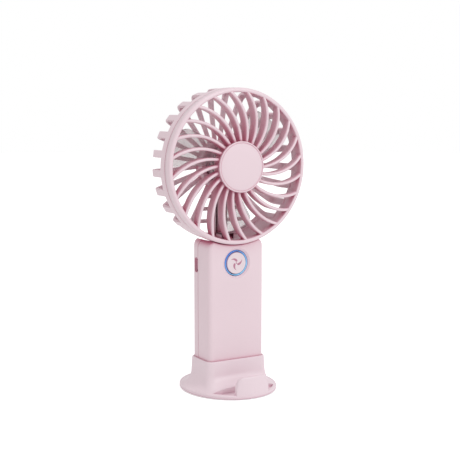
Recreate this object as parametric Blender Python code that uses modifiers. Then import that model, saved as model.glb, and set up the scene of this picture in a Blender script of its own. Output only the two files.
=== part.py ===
"""Handheld electric fan standing in its dock, which is also a phone stand.

One object per physical piece, in metres, +Z up. The origin is on the floor under the middle of the dock.
The fan's front faces -Y, and the fan's axle runs along Y through the middle of the head.
"""

import math

import bmesh
import bpy
from mathutils import Matrix, Vector

MM = 0.001
GAP = 0.3 * MM
PARTS = "handheld_fan"
TOOLS = "cutters"

# Head: a drum round the axle. "Forward" distances are measured from the handle's mid plane towards -Y.
HEAD_Z = 144.3 * MM
HEAD_RADIUS = 49.1 * MM
BAND_WALL = 2.2 * MM
RING_OPENING = 46.4 * MM
RING_FRONT = 14.6 * MM
PARTING = 8.65 * MM
BAND_REAR = 2.45 * MM
RING_STEPS = 72

# Front grille
FRONT_RIBS = 24
FRONT_RIB_WIDTH = 2.2 * MM
FRONT_RIB_START = math.radians(13.45)
FRONT_RIB_SWEEP = math.radians(21.2)
FRONT_RIB_BOW = math.radians(-5.8)
RIB_FIRST_RADIUS = 17.5 * MM
RIB_SWEEP_SPAN = 27.0 * MM
HUB_RADIUS = 15.2 * MM
CAP_RADIUS = 16.0 * MM

# Rear cage
REAR_BARS = 25
REAR_BAR_START = math.radians(270.7)
SPINE_HALF_WIDTH = 4.6 * MM
SLAT_DROPS = (20.5 * MM, 28.4 * MM, 36.3 * MM)
DUCT_HALF_WIDTH = 4.2 * MM
CUP_RADIUS = 15.5 * MM
CUP_INNER = 12.4 * MM
SKIRT_HALF_ANGLE = math.radians(44.0)
NECK_HALF_WIDTH = 8.7 * MM
NECK_FRONT = 5.0 * MM
NECK_REAR = 7.0 * MM
NECK_LOW = 88.0 * MM
WIRE_HOLE_Y = 3.0 * MM

# Handle
HANDLE_WIDTH = 40.0 * MM
HANDLE_DEPTH = 23.2 * MM
HANDLE_CORNER = 4.5 * MM
HANDLE_LOW = 3.6 * MM
HANDLE_TOP = 99.6 * MM
HANDLE_WALL = 1.6 * MM
CAVITY_TOP = 87.7 * MM
SHELL_PARTING_Y = 3.3 * MM
BOSS_X = 14.9 * MM
BOSS_HEIGHTS = (12.0 * MM, 68.0 * MM)
NECK_SCREW_X = 6.0 * MM
NECK_SCREW_Z = 92.2 * MM

# Button, light ring and charging port
BUTTON_Z = 83.0 * MM
BUTTON_RADIUS = 6.95 * MM
LIGHT_INNER = 7.25 * MM
LIGHT_OUTER = 8.15 * MM
BEZEL_RADIUS = 9.4 * MM
PORT_Y = 5.4 * MM
PORT_Z = 81.2 * MM
PORT_HEIGHT = 8.9 * MM
PORT_WIDTH = 3.25 * MM

# Dock
FOOT_HALF_X = 30.6 * MM
FOOT_HALF_Y = 34.1 * MM
FOOT_LOW = 0.5 * MM
FOOT_TOP = 3.0 * MM
FLARE_TOP = 13.0 * MM
COLLAR_TOP = 21.1 * MM
COLLAR_WALL = 1.3 * MM
COLLAR_DRAFT = 0.5 * MM
SOCKET_FLOOR = 3.2 * MM
SLOT_BACK = 20.0 * MM
SLOT_FLOOR = 1.9 * MM
RIM_WIDTH = 2.0 * MM
LIP_HALF_WIDTH = 11.5 * MM
LIP_TOP = 14.4 * MM

# Cell, board and motor
CELL_RADIUS = 9.2 * MM
CELL_LOW = 7.8 * MM
CELL_LENGTH = 65.0 * MM
BOARD_LOW = 74.8 * MM
BOARD_TOP = 86.4 * MM
BOARD_FRONT_Y = 2.2 * MM
BOARD_BACK_Y = 3.4 * MM
SHAFT_RADIUS = 1.0 * MM
SHAFT_CLEARANCE = 0.07 * MM
MOTOR_RADIUS = 12.0 * MM

PINK = (0.80, 0.62, 0.67)
PALE_GREY = (0.56, 0.56, 0.54)
STEEL = (0.62, 0.62, 0.64)
BRASS = (0.72, 0.55, 0.28)
COPPER = (0.72, 0.38, 0.22)
DARK = (0.03, 0.03, 0.035)
GREEN = (0.03, 0.22, 0.12)


# ---------------------------------------------------------------- scene and materials


def clear_scene():
    for item in list(bpy.data.objects):
        bpy.data.objects.remove(item, do_unlink=True)


def make_collection(name):
    group = bpy.data.collections.new(name)
    bpy.context.scene.collection.children.link(group)


def paint(piece, colour, roughness, metallic=0.0, glow=0.0):
    surface = bpy.data.materials.new(piece.name + "_finish")
    surface.use_nodes = True
    shader = surface.node_tree.nodes["Principled BSDF"]
    shader.inputs["Base Color"].default_value = (*colour, 1.0)
    shader.inputs["Roughness"].default_value = roughness
    shader.inputs["Metallic"].default_value = metallic
    shader.inputs["Emission Color"].default_value = (*colour, 1.0)
    shader.inputs["Emission Strength"].default_value = glow
    piece.data.materials.append(surface)
    return piece


def smooth(piece, degrees=35.0):
    piece.data.shade_smooth()
    piece.data.set_sharp_from_angle(angle=math.radians(degrees))
    return piece


# ---------------------------------------------------------------- shapes


def piece_from(name, shape):
    """A part object that holds the shape, a bmesh, which is freed."""
    shape.normal_update()
    mesh = bpy.data.meshes.new(name)
    shape.to_mesh(mesh)
    shape.free()
    piece = bpy.data.objects.new(name, mesh)
    bpy.data.collections[PARTS].objects.link(piece)
    return piece


def box(name, low, high):
    low = Vector(low)
    high = Vector(high)
    shape = bmesh.new()
    bmesh.ops.create_cube(shape, size=1.0)
    bmesh.ops.scale(shape, vec=high - low, verts=shape.verts)
    piece = piece_from(name, shape)
    piece.location = (low + high) / 2
    return piece


def rod(name, radius, start, end, steps=16):
    """A cylinder from start to end."""
    start = Vector(start)
    end = Vector(end)
    shape = bmesh.new()
    bmesh.ops.create_cone(
        shape,
        cap_ends=True,
        segments=steps,
        radius1=radius,
        radius2=radius,
        depth=(end - start).length,
    )
    turn = (end - start).to_track_quat("Z", "Y").to_matrix().to_4x4()
    bmesh.ops.transform(shape, matrix=turn, verts=shape.verts)
    piece = piece_from(name, shape)
    piece.location = (start + end) / 2
    return smooth(piece)


def turned(name, profile, steps, closed=False, angle=math.tau):
    """A profile of (radius, height) points turned about local Z. It runs down the outer side."""
    shape = bmesh.new()
    points = [shape.verts.new((radius, 0.0, height)) for radius, height in profile]
    for first, second in zip(points, points[1:]):
        shape.edges.new((first, second))
    if closed:
        shape.edges.new((points[-1], points[0]))
    piece = piece_from(name, shape)
    screw = piece.modifiers.new("turn", "SCREW")
    screw.axis = "Z"
    screw.angle = angle
    screw.steps = steps
    screw.render_steps = steps
    screw.use_merge_vertices = angle == math.tau
    screw.merge_threshold = 0.01 * MM
    screw.use_smooth_shade = False
    return piece


def face_forward(piece, y=0.0, z=HEAD_Z):
    """Turn a piece so that its local Z points forward, along -Y, on the axis at height z."""
    piece.rotation_euler = (math.pi / 2, 0.0, 0.0)
    piece.location = (0.0, y, z)
    return piece


def rounded_rectangle(width, depth, corner, corner_steps=5, side_steps=1):
    """Counter-clockwise points of a rectangle with round corners, its sides divided into side_steps."""
    outline = []
    for quarter, (sign_x, sign_y) in enumerate(((1, 1), (-1, 1), (-1, -1), (1, -1))):
        centre = Vector((sign_x * (width / 2 - corner), sign_y * (depth / 2 - corner)))
        for step in range(corner_steps + 1):
            angle = (quarter + step / corner_steps) * math.pi / 2
            outline.append(centre + corner * Vector((math.cos(angle), math.sin(angle))))
    divided = []
    for index, point in enumerate(outline):
        divided.append(point)
        if index % (corner_steps + 1) == corner_steps:
            following = outline[(index + 1) % len(outline)]
            for step in range(1, side_steps):
                divided.append(point.lerp(following, step / side_steps))
    return divided


def ellipse(half_x, half_y, steps=56):
    turns = (math.tau * step / steps for step in range(steps))
    return [Vector((half_x * math.cos(turn), half_y * math.sin(turn))) for turn in turns]


def plate(name, outline, thickness):
    """A flat outline in local XY, filled and given its thickness about local Z, as a mesh."""
    curve = bpy.data.curves.new(name, "CURVE")
    curve.dimensions = "2D"
    curve.fill_mode = "BOTH"
    curve.extrude = thickness / 2
    spline = curve.splines.new("POLY")
    spline.points.add(len(outline) - 1)
    for point, place in zip(spline.points, outline):
        point.co = (place[0], place[1], 0.0, 1.0)
    spline.use_cyclic_u = True
    return meshed(name, curve)


def tube(name, path, radius):
    """A wire through the path's points, with closed ends, as a mesh."""
    curve = bpy.data.curves.new(name, "CURVE")
    curve.dimensions = "3D"
    curve.bevel_depth = radius
    curve.bevel_resolution = 2
    curve.use_fill_caps = True
    spline = curve.splines.new("POLY")
    spline.points.add(len(path) - 1)
    for point, place in zip(spline.points, path):
        point.co = (*place, 1.0)
    return smooth(meshed(name, curve))


def meshed(name, curve):
    """The curve's evaluated mesh as a part object, its caps welded. The curve is removed."""
    drawn = bpy.data.objects.new(name + "_curve", curve)
    bpy.data.collections[PARTS].objects.link(drawn)
    graph = bpy.context.evaluated_depsgraph_get()
    mesh = bpy.data.meshes.new_from_object(drawn.evaluated_get(graph))
    shape = bmesh.new()
    shape.from_mesh(mesh)
    bmesh.ops.remove_doubles(shape, verts=shape.verts, dist=0.005 * MM)
    bmesh.ops.recalc_face_normals(shape, faces=shape.faces)
    piece = piece_from(name, shape)
    piece.matrix_world = drawn.matrix_world.copy()
    bpy.data.objects.remove(drawn)
    bpy.data.meshes.remove(mesh)
    return piece


def loft(name, rings):
    """A closed solid through rings of equally many points, the first and the last one filled."""
    shape = bmesh.new()
    levels = [[shape.verts.new(point) for point in ring] for ring in rings]
    for lower, upper in zip(levels, levels[1:]):
        for index in range(len(lower)):
            after = (index + 1) % len(lower)
            shape.faces.new((lower[index], lower[after], upper[after], upper[index]))
    shape.faces.new(list(reversed(levels[0])))
    shape.faces.new(levels[-1])
    return piece_from(name, shape)


def ribbon(name, rows, thickness, offset):
    """An open strip through rows of two points, given a thickness by Solidify."""
    shape = bmesh.new()
    edges = [[shape.verts.new(point) for point in row] for row in rows]
    for near, far in zip(edges, edges[1:]):
        shape.faces.new((near[0], near[1], far[1], far[0]))
    piece = piece_from(name, shape)
    thicken = piece.modifiers.new("thickness", "SOLIDIFY")
    thicken.thickness = thickness
    thicken.offset = offset
    thicken.use_even_offset = True
    return piece


# ---------------------------------------------------------------- joining and cutting


def as_tool(tool):
    """Move an object to the cutters, which aren't part of the fan."""
    bpy.data.collections[PARTS].objects.unlink(tool)
    bpy.data.collections[TOOLS].objects.link(tool)
    tool.hide_render = True
    tool.display_type = "WIRE"
    return tool


def combine(piece, tool, operation):
    step = piece.modifiers.new(operation.lower(), "BOOLEAN")
    step.operation = operation
    step.solver = "EXACT"
    step.object = as_tool(tool)
    return piece


def cut(piece, tool):
    return combine(piece, tool, "DIFFERENCE")


def join(piece, tool):
    return combine(piece, tool, "UNION")


def join_all(piece, tools):
    """One union with every tool, kept in a collection of its own inside the cutters."""
    group = bpy.data.collections.new(piece.name + "_joined")
    bpy.data.collections[TOOLS].children.link(group)
    for tool in tools:
        as_tool(tool)
        bpy.data.collections[TOOLS].objects.unlink(tool)
        group.objects.link(tool)
    step = piece.modifiers.new("join_all", "BOOLEAN")
    step.operation = "UNION"
    step.solver = "EXACT"
    step.operand_type = "COLLECTION"
    step.collection = group
    return piece


# ---------------------------------------------------------------- dock


def flare_sections():
    """Rings from the foot's underside up its edge, in along the trumpet flare and up the collar."""
    collar_width = HANDLE_WIDTH + 2 * (GAP + COLLAR_WALL)
    collar_depth = HANDLE_DEPTH + 2 * (GAP + COLLAR_WALL)
    corner = HANDLE_CORNER + GAP + COLLAR_WALL
    top = rounded_rectangle(collar_width, collar_depth, corner, 4, 8)
    wide = 2 * COLLAR_DRAFT
    root = rounded_rectangle(collar_width + wide, collar_depth + wide, corner + COLLAR_DRAFT, 4, 8)
    edge = []
    for point in top:
        turn = math.atan2(point.y / collar_depth, point.x / collar_width)
        edge.append(Vector((FOOT_HALF_X * math.cos(turn), FOOT_HALF_Y * math.sin(turn))))
    rings = [[(point.x * 0.985, point.y * 0.985, FOOT_LOW) for point in edge]]
    rings.append([(point.x, point.y, FOOT_LOW + 0.5 * MM) for point in edge])
    rings.append([(point.x, point.y, FOOT_TOP - 0.4 * MM) for point in edge])
    for step in range(8):
        turn = step * math.pi / 14
        inward = math.sin(turn)
        height = FOOT_TOP + (FLARE_TOP - FOOT_TOP) * (1 - math.cos(turn))
        spots = [outer.lerp(inner, inward) for outer, inner in zip(edge, root)]
        if step == 0:
            spots = [spot * 0.988 for spot in spots]
        rings.append([(spot.x, spot.y, height) for spot in spots])
    rings.append([(point.x, point.y, COLLAR_TOP) for point in top])
    return rings


def phone_slot_tool():
    """The space in front of the flare, inside the foot's rim, from the slot's floor upwards."""
    inside = ellipse(FOOT_HALF_X - RIM_WIDTH, FOOT_HALF_Y - RIM_WIDTH)
    tool = plate("slot_tool", inside, 30.0 * MM)
    tool.location.z = SLOT_FLOOR + 15.0 * MM
    far = 60.0 * MM
    front = box("slot_front_tool", (-far, -far, -far), (far, -SLOT_BACK, far))
    return combine(tool, front, "INTERSECT")


def front_lip():
    """The upright lip that stops a phone, curved like the foot's edge, with round upper corners."""
    lip = plate("lip_tool", ellipse(FOOT_HALF_X - 0.35 * MM, FOOT_HALF_Y - 0.35 * MM), 13.2 * MM)
    lip.location.z = LIP_TOP - 6.6 * MM
    hollow = ellipse(FOOT_HALF_X - 2.6 * MM, FOOT_HALF_Y - 2.6 * MM)
    cut(lip, plate("lip_hollow_tool", hollow, 40.0 * MM))
    corner = 5.0 * MM
    height = 30.0 * MM
    front = plate("lip_front_tool", rounded_rectangle(2 * LIP_HALF_WIDTH, height, corner), 30.0 * MM)
    front.rotation_euler = (math.pi / 2, 0.0, 0.0)
    front.location = (0.0, -35.0 * MM, LIP_TOP - height / 2 - 0.01 * MM)
    return combine(lip, front, "INTERSECT")


def dock_base():
    base = loft("dock_base", flare_sections())
    cut(base, phone_slot_tool())
    join(base, front_lip())
    socket = rounded_rectangle(
        HANDLE_WIDTH + 2 * GAP, HANDLE_DEPTH + 2 * GAP, HANDLE_CORNER + GAP
    )
    socket_tool = plate("socket_tool", socket, 30.0 * MM)
    socket_tool.location.z = SOCKET_FLOOR + 15.0 * MM
    cut(base, socket_tool)
    recess = plate("pad_recess_tool", ellipse(27.3 * MM, 30.3 * MM), 2.0 * MM)
    recess.location.z = 0.3 * MM
    cut(base, recess)
    return paint(smooth(base), PINK, 0.38)


def dock_pad():
    pad = plate("dock_pad", ellipse(27.0 * MM, 30.0 * MM), 1.0 * MM)
    pad.location.z = 0.5 * MM
    centre = plate("pad_centre_tool", ellipse(19.0 * MM, 22.0 * MM, 40), 4.0 * MM)
    return paint(smooth(cut(pad, centre)), (0.12, 0.10, 0.105), 0.8)


# ---------------------------------------------------------------- handle


def handle_blank(name):
    """The whole hollow handle, its top shaped to the head, before it is parted into two shells."""
    outline = rounded_rectangle(HANDLE_WIDTH, HANDLE_DEPTH, HANDLE_CORNER, 5)
    blank = plate(name, outline, HANDLE_TOP - HANDLE_LOW)
    middle = (HANDLE_TOP + HANDLE_LOW) / 2
    blank.location.z = middle
    face = rounded_rectangle(HANDLE_WIDTH + 0.02 * MM, HANDLE_TOP - HANDLE_LOW + 0.02 * MM, 5.0 * MM, 4)
    shoulders = plate(name + "_face_tool", face, 40.0 * MM)
    shoulders.rotation_euler = (math.pi / 2, 0.0, 0.0)
    shoulders.location.z = middle
    combine(blank, shoulders, "INTERSECT")
    head = rod(name + "_head_tool", HEAD_RADIUS + 0.4 * MM, (0, -0.05, HEAD_Z), (0, 0.05, HEAD_Z), 96)
    cut(blank, head)
    wall = 2 * HANDLE_WALL
    inner = rounded_rectangle(HANDLE_WIDTH - wall, HANDLE_DEPTH - wall, HANDLE_CORNER - HANDLE_WALL, 3)
    low = HANDLE_LOW + 2.0 * MM
    cavity = plate(name + "_cavity_tool", inner, CAVITY_TOP - low)
    cavity.location.z = (CAVITY_TOP + low) / 2
    return cut(blank, cavity)


def neck_space(name):
    """The space that holds the cage's neck between the shells."""
    side = NECK_HALF_WIDTH + GAP
    low = (-side, -NECK_FRONT - GAP, CAVITY_TOP - 1.0 * MM)
    return box(name, low, (side, NECK_REAR + GAP, 101.0 * MM))


def boss_places():
    return [(side * BOSS_X, height) for height in BOSS_HEIGHTS for side in (-1, 1)]


def handle_front():
    shell = handle_blank("handle_front")
    inner = -HANDLE_DEPTH / 2 + HANDLE_WALL
    for index, (x, z) in enumerate(boss_places()):
        name = f"front_boss_tool_{index}"
        post = rod(name, 2.6 * MM, (x, inner - 0.4 * MM, z), (x, SHELL_PARTING_Y - GAP, z), 14)
        join(shell, post)
    far = 0.2
    rear = box("front_half_tool", (-far, SHELL_PARTING_Y - GAP / 2, -far), (far, far, far))
    cut(shell, rear)
    for index, (x, z) in enumerate(boss_places()):
        name = f"front_pilot_tool_{index}"
        cut(shell, rod(name, 1.15 * MM, (x, -5.0 * MM, z), (x, 9.0 * MM, z), 12))
    for index, side in enumerate((-1, 1)):
        start = (side * NECK_SCREW_X, -9.5 * MM, NECK_SCREW_Z)
        end = (side * NECK_SCREW_X, 9.0 * MM, NECK_SCREW_Z)
        cut(shell, rod(f"front_neck_pilot_tool_{index}", 1.15 * MM, start, end, 12))
    cut(shell, neck_space("front_neck_tool"))
    face = HANDLE_DEPTH / 2
    dish = [
        (0.0, face + 1.0 * MM),
        (BEZEL_RADIUS + 1.2 * MM, face + 1.0 * MM),
        (LIGHT_OUTER + GAP, face - 0.9 * MM),
        (LIGHT_OUTER + GAP, face - 4.8 * MM),
        (0.0, face - 4.8 * MM),
    ]
    cut(shell, face_forward(turned("button_hole_tool", dish, 48), z=BUTTON_Z))
    return paint(smooth(shell), PINK, 0.36)


def handle_rear():
    shell = handle_blank("handle_rear")
    inner = HANDLE_DEPTH / 2 - HANDLE_WALL
    for index, (x, z) in enumerate(boss_places()):
        start = (x, SHELL_PARTING_Y + GAP, z)
        join(shell, rod(f"rear_boss_tool_{index}", 2.6 * MM, start, (x, inner + 0.4 * MM, z), 14))
    far = 0.2
    front = box("rear_half_tool", (-far, -far, -far), (far, SHELL_PARTING_Y + GAP / 2, far))
    cut(shell, front)
    places = boss_places() + [(side * NECK_SCREW_X, NECK_SCREW_Z) for side in (-1, 1)]
    back = HANDLE_DEPTH / 2
    for index, (x, z) in enumerate(places):
        profile = [
            (0.0, back + 1.0 * MM),
            (2.35 * MM, back + 1.0 * MM),
            (2.35 * MM, back - 2.0 * MM),
            (1.3 * MM, back - 2.0 * MM),
            (1.3 * MM, -1.0 * MM),
            (0.0, -1.0 * MM),
        ]
        sink = turned(f"rear_sink_tool_{index}", profile, 14)
        sink.rotation_euler = (-math.pi / 2, 0.0, 0.0)
        sink.location = (x, 0.0, z)
        cut(shell, sink)
    cut(shell, neck_space("rear_neck_tool"))
    mouth = rounded_rectangle(PORT_HEIGHT + 0.7 * MM, PORT_WIDTH + 0.7 * MM, 1.6 * MM, 5)
    hole = plate("port_hole_tool", mouth, 6.0 * MM)
    hole.rotation_euler = (0.0, math.pi / 2, 0.0)
    hole.location = (-HANDLE_WIDTH / 2, PORT_Y, PORT_Z)
    cut(shell, hole)
    return paint(smooth(shell), PINK, 0.36)


def screw(name, x, z, length):
    """A self-tapping screw whose head sits in the rear shell's sink, pointing forward."""
    seat = HANDLE_DEPTH / 2 - 2.0 * MM - GAP
    profile = [
        (0.0, seat + 1.5 * MM),
        (1.5 * MM, seat + 1.5 * MM),
        (2.0 * MM, seat + 1.1 * MM),
        (2.0 * MM, seat + GAP * 2),
        (0.95 * MM, seat + GAP * 2),
        (0.95 * MM, seat + 1.0 * MM - length),
        (0.0, seat - length),
    ]
    piece = turned(name, profile, 14)
    piece.rotation_euler = (-math.pi / 2, 0.0, 0.0)
    piece.location = (x, 0.0, z)
    return paint(piece, STEEL, 0.35, 1.0)


def screws():
    for index, (x, z) in enumerate(boss_places()):
        screw(f"handle_screw_{index + 1}", x, z, 12.0 * MM)
    for index, side in enumerate((-1, 1)):
        screw(f"neck_screw_{index + 1}", side * NECK_SCREW_X, NECK_SCREW_Z, 16.0 * MM)


# ---------------------------------------------------------------- front grille


def rib_angle(radius, index):
    """Where a front rib's middle line is at this radius: a sweep outwards with a slight bow."""
    along = (radius - RIB_FIRST_RADIUS) / RIB_SWEEP_SPAN
    sweep = FRONT_RIB_SWEEP * along + FRONT_RIB_BOW * along * (1 - along)
    return FRONT_RIB_START + math.tau * index / FRONT_RIBS + sweep


def rib_front(radius):
    """How far forward a front rib's outer edge stands: a low dome that drops to the ring."""
    along = (radius - 14.0 * MM) / (47.4 * MM - 14.0 * MM)
    return (15.9 + 3.2 * along * (1 - along) - 1.7 * along**8) * MM


def front_rib(index):
    rows = []
    for step in range(8):
        radius = (14.0 + step * (47.4 - 14.0) / 7) * MM
        angle = rib_angle(radius, index)
        place = (radius * math.cos(angle), radius * math.sin(angle))
        rows.append(((*place, rib_front(radius)), (*place, 9.4 * MM)))
    return face_forward(ribbon(f"front_rib_tool_{index}", rows, FRONT_RIB_WIDTH, 0.0))


def front_grille():
    outer = HEAD_RADIUS
    profile = [
        (RING_OPENING + 0.2 * MM, RING_FRONT),
        (outer - 1.3 * MM, RING_FRONT),
        (outer - 0.35 * MM, RING_FRONT - 0.4 * MM),
        (outer, RING_FRONT - 1.4 * MM),
        (outer, PARTING + GAP / 2),
        (RING_OPENING, PARTING + GAP / 2),
        (RING_OPENING, RING_FRONT - 0.3 * MM),
    ]
    grille = face_forward(turned("front_grille", profile, RING_STEPS, closed=True))
    join_all(grille, [front_rib(index) for index in range(FRONT_RIBS)])
    hub = [
        (0.0, 16.0 * MM),
        (HUB_RADIUS, 16.0 * MM),
        (HUB_RADIUS, 9.0 * MM),
        (0.0, 9.0 * MM),
    ]
    join(grille, face_forward(turned("hub_tool", hub, 48)))
    cut(grille, rod("cap_plug_tool", 5.3 * MM, (0, -0.03, HEAD_Z), (0, -0.0124, HEAD_Z), 24))
    return paint(smooth(grille), PINK, 0.34)


def grille_cap():
    """A smooth cap with a bead round its edge and a plug that presses into the hub."""
    profile = [
        (0.0, 18.05 * MM),
        (14.7 * MM, 18.05 * MM),
        (14.95 * MM, 17.75 * MM),
        (15.2 * MM, 18.0 * MM),
        (15.7 * MM, 17.9 * MM),
        (CAP_RADIUS, 17.3 * MM),
        (CAP_RADIUS, 16.3 * MM),
        (5.0 * MM, 16.3 * MM),
        (5.0 * MM, 13.0 * MM),
        (0.0, 13.0 * MM),
    ]
    return paint(smooth(face_forward(turned("grille_cap", profile, 48))), PINK, 0.32)


# ---------------------------------------------------------------- rear cage


def cage_profile():
    """(radius, forward distance) along the cage's outer face, from inside the band to the motor cup."""
    edge = HEAD_RADIUS - 0.2 * MM
    corner = 5.0 * MM
    path = [(edge, 4.6 * MM), (edge, -7.6 * MM)]
    for step in (1, 2, 3):
        turn = step * math.pi / 6
        outward = edge - corner * (1 - math.cos(turn))
        path.append((outward, -7.6 * MM - corner * math.sin(turn)))
    path += [(34.0 * MM, -13.3 * MM), (24.0 * MM, -13.9 * MM), (14.2 * MM, -14.1 * MM)]
    return path


def bar_half_width(radius):
    """A bar is broad as a tooth on the drum's side and narrows towards the motor cup."""
    outward = min(1.0, (radius - CUP_RADIUS) / (46.0 * MM - CUP_RADIUS))
    return (1.3 + 0.25 * outward + 0.75 * outward**3) * MM


def bar_along(name, angle, places, half_width=None):
    """A bar that follows the given (radius, forward) places at one angle round the head."""
    rows = []
    for radius, forward in places:
        half = half_width or bar_half_width(radius)
        centre = Vector((radius * math.cos(angle), radius * math.sin(angle), forward))
        across = Vector((-math.sin(angle), math.cos(angle), 0.0))
        rows.append((centre - half * across, centre + half * across))
    return face_forward(ribbon(name, rows, 2.2 * MM, 1.0))


def rear_bars():
    """Radial bars all round, except where the spine and its slats stand above the handle."""
    bars = []
    for index in range(-12, 13):
        angle = REAR_BAR_START + math.tau * index / REAR_BARS
        places = cage_profile() if abs(index) > 2 else cage_profile()[2:]
        if abs(index) > 1:
            bars.append(bar_along(f"rear_bar_tool_{index + 12}", angle, places))
    return bars


def spine():
    """A broad upright bar from the motor cup to the skirt, with slats across it to the next bars."""
    pieces = [bar_along("spine_tool", 1.5 * math.pi, cage_profile()[2:], SPINE_HALF_WIDTH)]
    for index, drop in enumerate(SLAT_DROPS):
        reach = drop * math.tan(2 * math.tau / REAR_BARS)
        low = (-reach, 12.0 * MM, HEAD_Z - drop - 1.2 * MM)
        high = (reach, (13.7 - 0.15 * index) * MM, HEAD_Z - drop + 1.2 * MM)
        pieces.append(box(f"slat_tool_{index}", low, high))
    return pieces


def neck_skirt():
    """The closed stretch of the drum's side above the handle, just inside the teeth's outer face."""
    inset = 0.45 * MM
    profile = [
        (radius - inset, forward + (inset if forward < -9 * MM else 0.0))
        for radius, forward in cage_profile()
        if radius > 46 * MM
    ]
    skirt = turned("skirt_tool", profile, 20, angle=2 * SKIRT_HALF_ANGLE)
    thicken = skirt.modifiers.new("thickness", "SOLIDIFY")
    thicken.thickness = 1.4 * MM
    thicken.offset = -1.0
    skirt.rotation_euler = (math.pi / 2, -(1.5 * math.pi - SKIRT_HALF_ANGLE), 0.0)
    skirt.location = (0.0, 0.0, HEAD_Z)
    return skirt


def lead_duct():
    """Two boxes that hide the motor leads: along the skirt's floor, then up in front of the spine."""
    wide = DUCT_HALF_WIDTH
    floor = box("duct_floor_tool", (-wide, -0.3 * MM, 96.6 * MM), (wide, 9.0 * MM, 100.7 * MM))
    rise = box("duct_rise_tool", (-wide, 7.6 * MM, 98.4 * MM), (wide, 12.0 * MM, HEAD_Z - 14.0 * MM))
    return [floor, rise]


def cut_lead_passage(cage):
    hole = rod("wire_hole_tool", 2.4 * MM, (0, WIRE_HOLE_Y, 0.08), (0, WIRE_HOLE_Y, 0.099), 20)
    cut(cage, hole)
    half = 3.0 * MM
    cut(cage, box("duct_floor_bore", (-half, 0.5 * MM, 97.6 * MM), (half, 9.5 * MM, 99.9 * MM)))
    rise_top = HEAD_Z - 11.5 * MM
    cut(cage, box("duct_rise_bore", (-half, 8.5 * MM, 97.8 * MM), (half, 11.1 * MM, rise_top)))
    notch_low = (-3.5 * MM, 8.8 * MM, HEAD_Z - 21.0 * MM)
    cut(cage, box("lead_notch_tool", notch_low, (3.5 * MM, 12.7 * MM, rise_top - 0.1 * MM)))


def rear_cage():
    outer = HEAD_RADIUS
    band = [
        (outer, PARTING - GAP / 2),
        (outer, BAND_REAR),
        (outer - BAND_WALL, BAND_REAR),
        (outer - BAND_WALL, PARTING - GAP / 2),
    ]
    cage = face_forward(turned("rear_cage", band, RING_STEPS, closed=True))
    join_all(cage, rear_bars())
    join_all(cage, spine())
    join(cage, neck_skirt())
    cup = [
        (CUP_RADIUS, -6.0 * MM),
        (CUP_RADIUS, -14.4 * MM),
        (CUP_RADIUS - 1.0 * MM, -15.2 * MM),
        (0.0, -15.2 * MM),
        (0.0, -13.2 * MM),
        (CUP_INNER, -13.2 * MM),
        (CUP_INNER, -6.0 * MM),
    ]
    join(cage, face_forward(turned("cup_tool", cup, 48, closed=True)))
    low = (-NECK_HALF_WIDTH, -NECK_FRONT, NECK_LOW)
    join(cage, box("neck_tool", low, (NECK_HALF_WIDTH, NECK_REAR, 96.8 * MM)))
    join_all(cage, lead_duct())
    cut_lead_passage(cage)
    for index, side in enumerate((-1, 1)):
        start = (side * NECK_SCREW_X, -15.0 * MM, NECK_SCREW_Z)
        end = (side * NECK_SCREW_X, 15.0 * MM, NECK_SCREW_Z)
        cut(cage, rod(f"neck_hole_tool_{index}", 1.3 * MM, start, end, 14))
    return paint(smooth(cage), PINK, 0.36)


# ---------------------------------------------------------------- motor and impeller


def motor_parts():
    """The can, magnet, end cap and bushes, which stand still."""
    can = [
        (MOTOR_RADIUS - 0.6 * MM, -0.8 * MM),
        (MOTOR_RADIUS, -1.4 * MM),
        (MOTOR_RADIUS, -10.8 * MM),
        (MOTOR_RADIUS - 0.7 * MM, -10.8 * MM),
        (MOTOR_RADIUS - 0.7 * MM, -1.6 * MM),
        (2.9 * MM, -1.6 * MM),
        (2.9 * MM, -0.8 * MM),
    ]
    paint(smooth(face_forward(turned("motor_can", can, 28, closed=True))), STEEL, 0.3, 1.0)
    magnet = [(11.0 * MM, -3.0 * MM), (11.0 * MM, -9.4 * MM), (9.9 * MM, -9.4 * MM), (9.9 * MM, -3.0 * MM)]
    paint(face_forward(turned("motor_magnet", magnet, 24, closed=True)), DARK, 0.6, 0.4)
    end_cap = [
        (11.7 * MM, -11.1 * MM),
        (11.7 * MM, -12.8 * MM),
        (2.9 * MM, -12.8 * MM),
        (2.9 * MM, -11.1 * MM),
    ]
    paint(face_forward(turned("motor_endcap", end_cap, 24, closed=True)), (0.75, 0.74, 0.70), 0.5)
    for name, front, back in (("motor_bush_front", -0.3, -2.4), ("motor_bush_rear", -11.3, -12.9)):
        bore = SHAFT_RADIUS + SHAFT_CLEARANCE
        bush = [(2.6 * MM, front * MM), (2.6 * MM, back * MM), (bore, back * MM), (bore, front * MM)]
        paint(face_forward(turned(name, bush, 20, closed=True)), BRASS, 0.35, 1.0)
    for name, side in (("motor_terminal_red", -1), ("motor_terminal_black", 1)):
        low = (side * 2.4 * MM - 0.8 * MM, 11.2 * MM, HEAD_Z - 14.4 * MM)
        high = (side * 2.4 * MM + 0.8 * MM, 11.6 * MM, HEAD_Z - 12.1 * MM)
        paint(box(name, low, high), BRASS, 0.35, 1.0)


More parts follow.
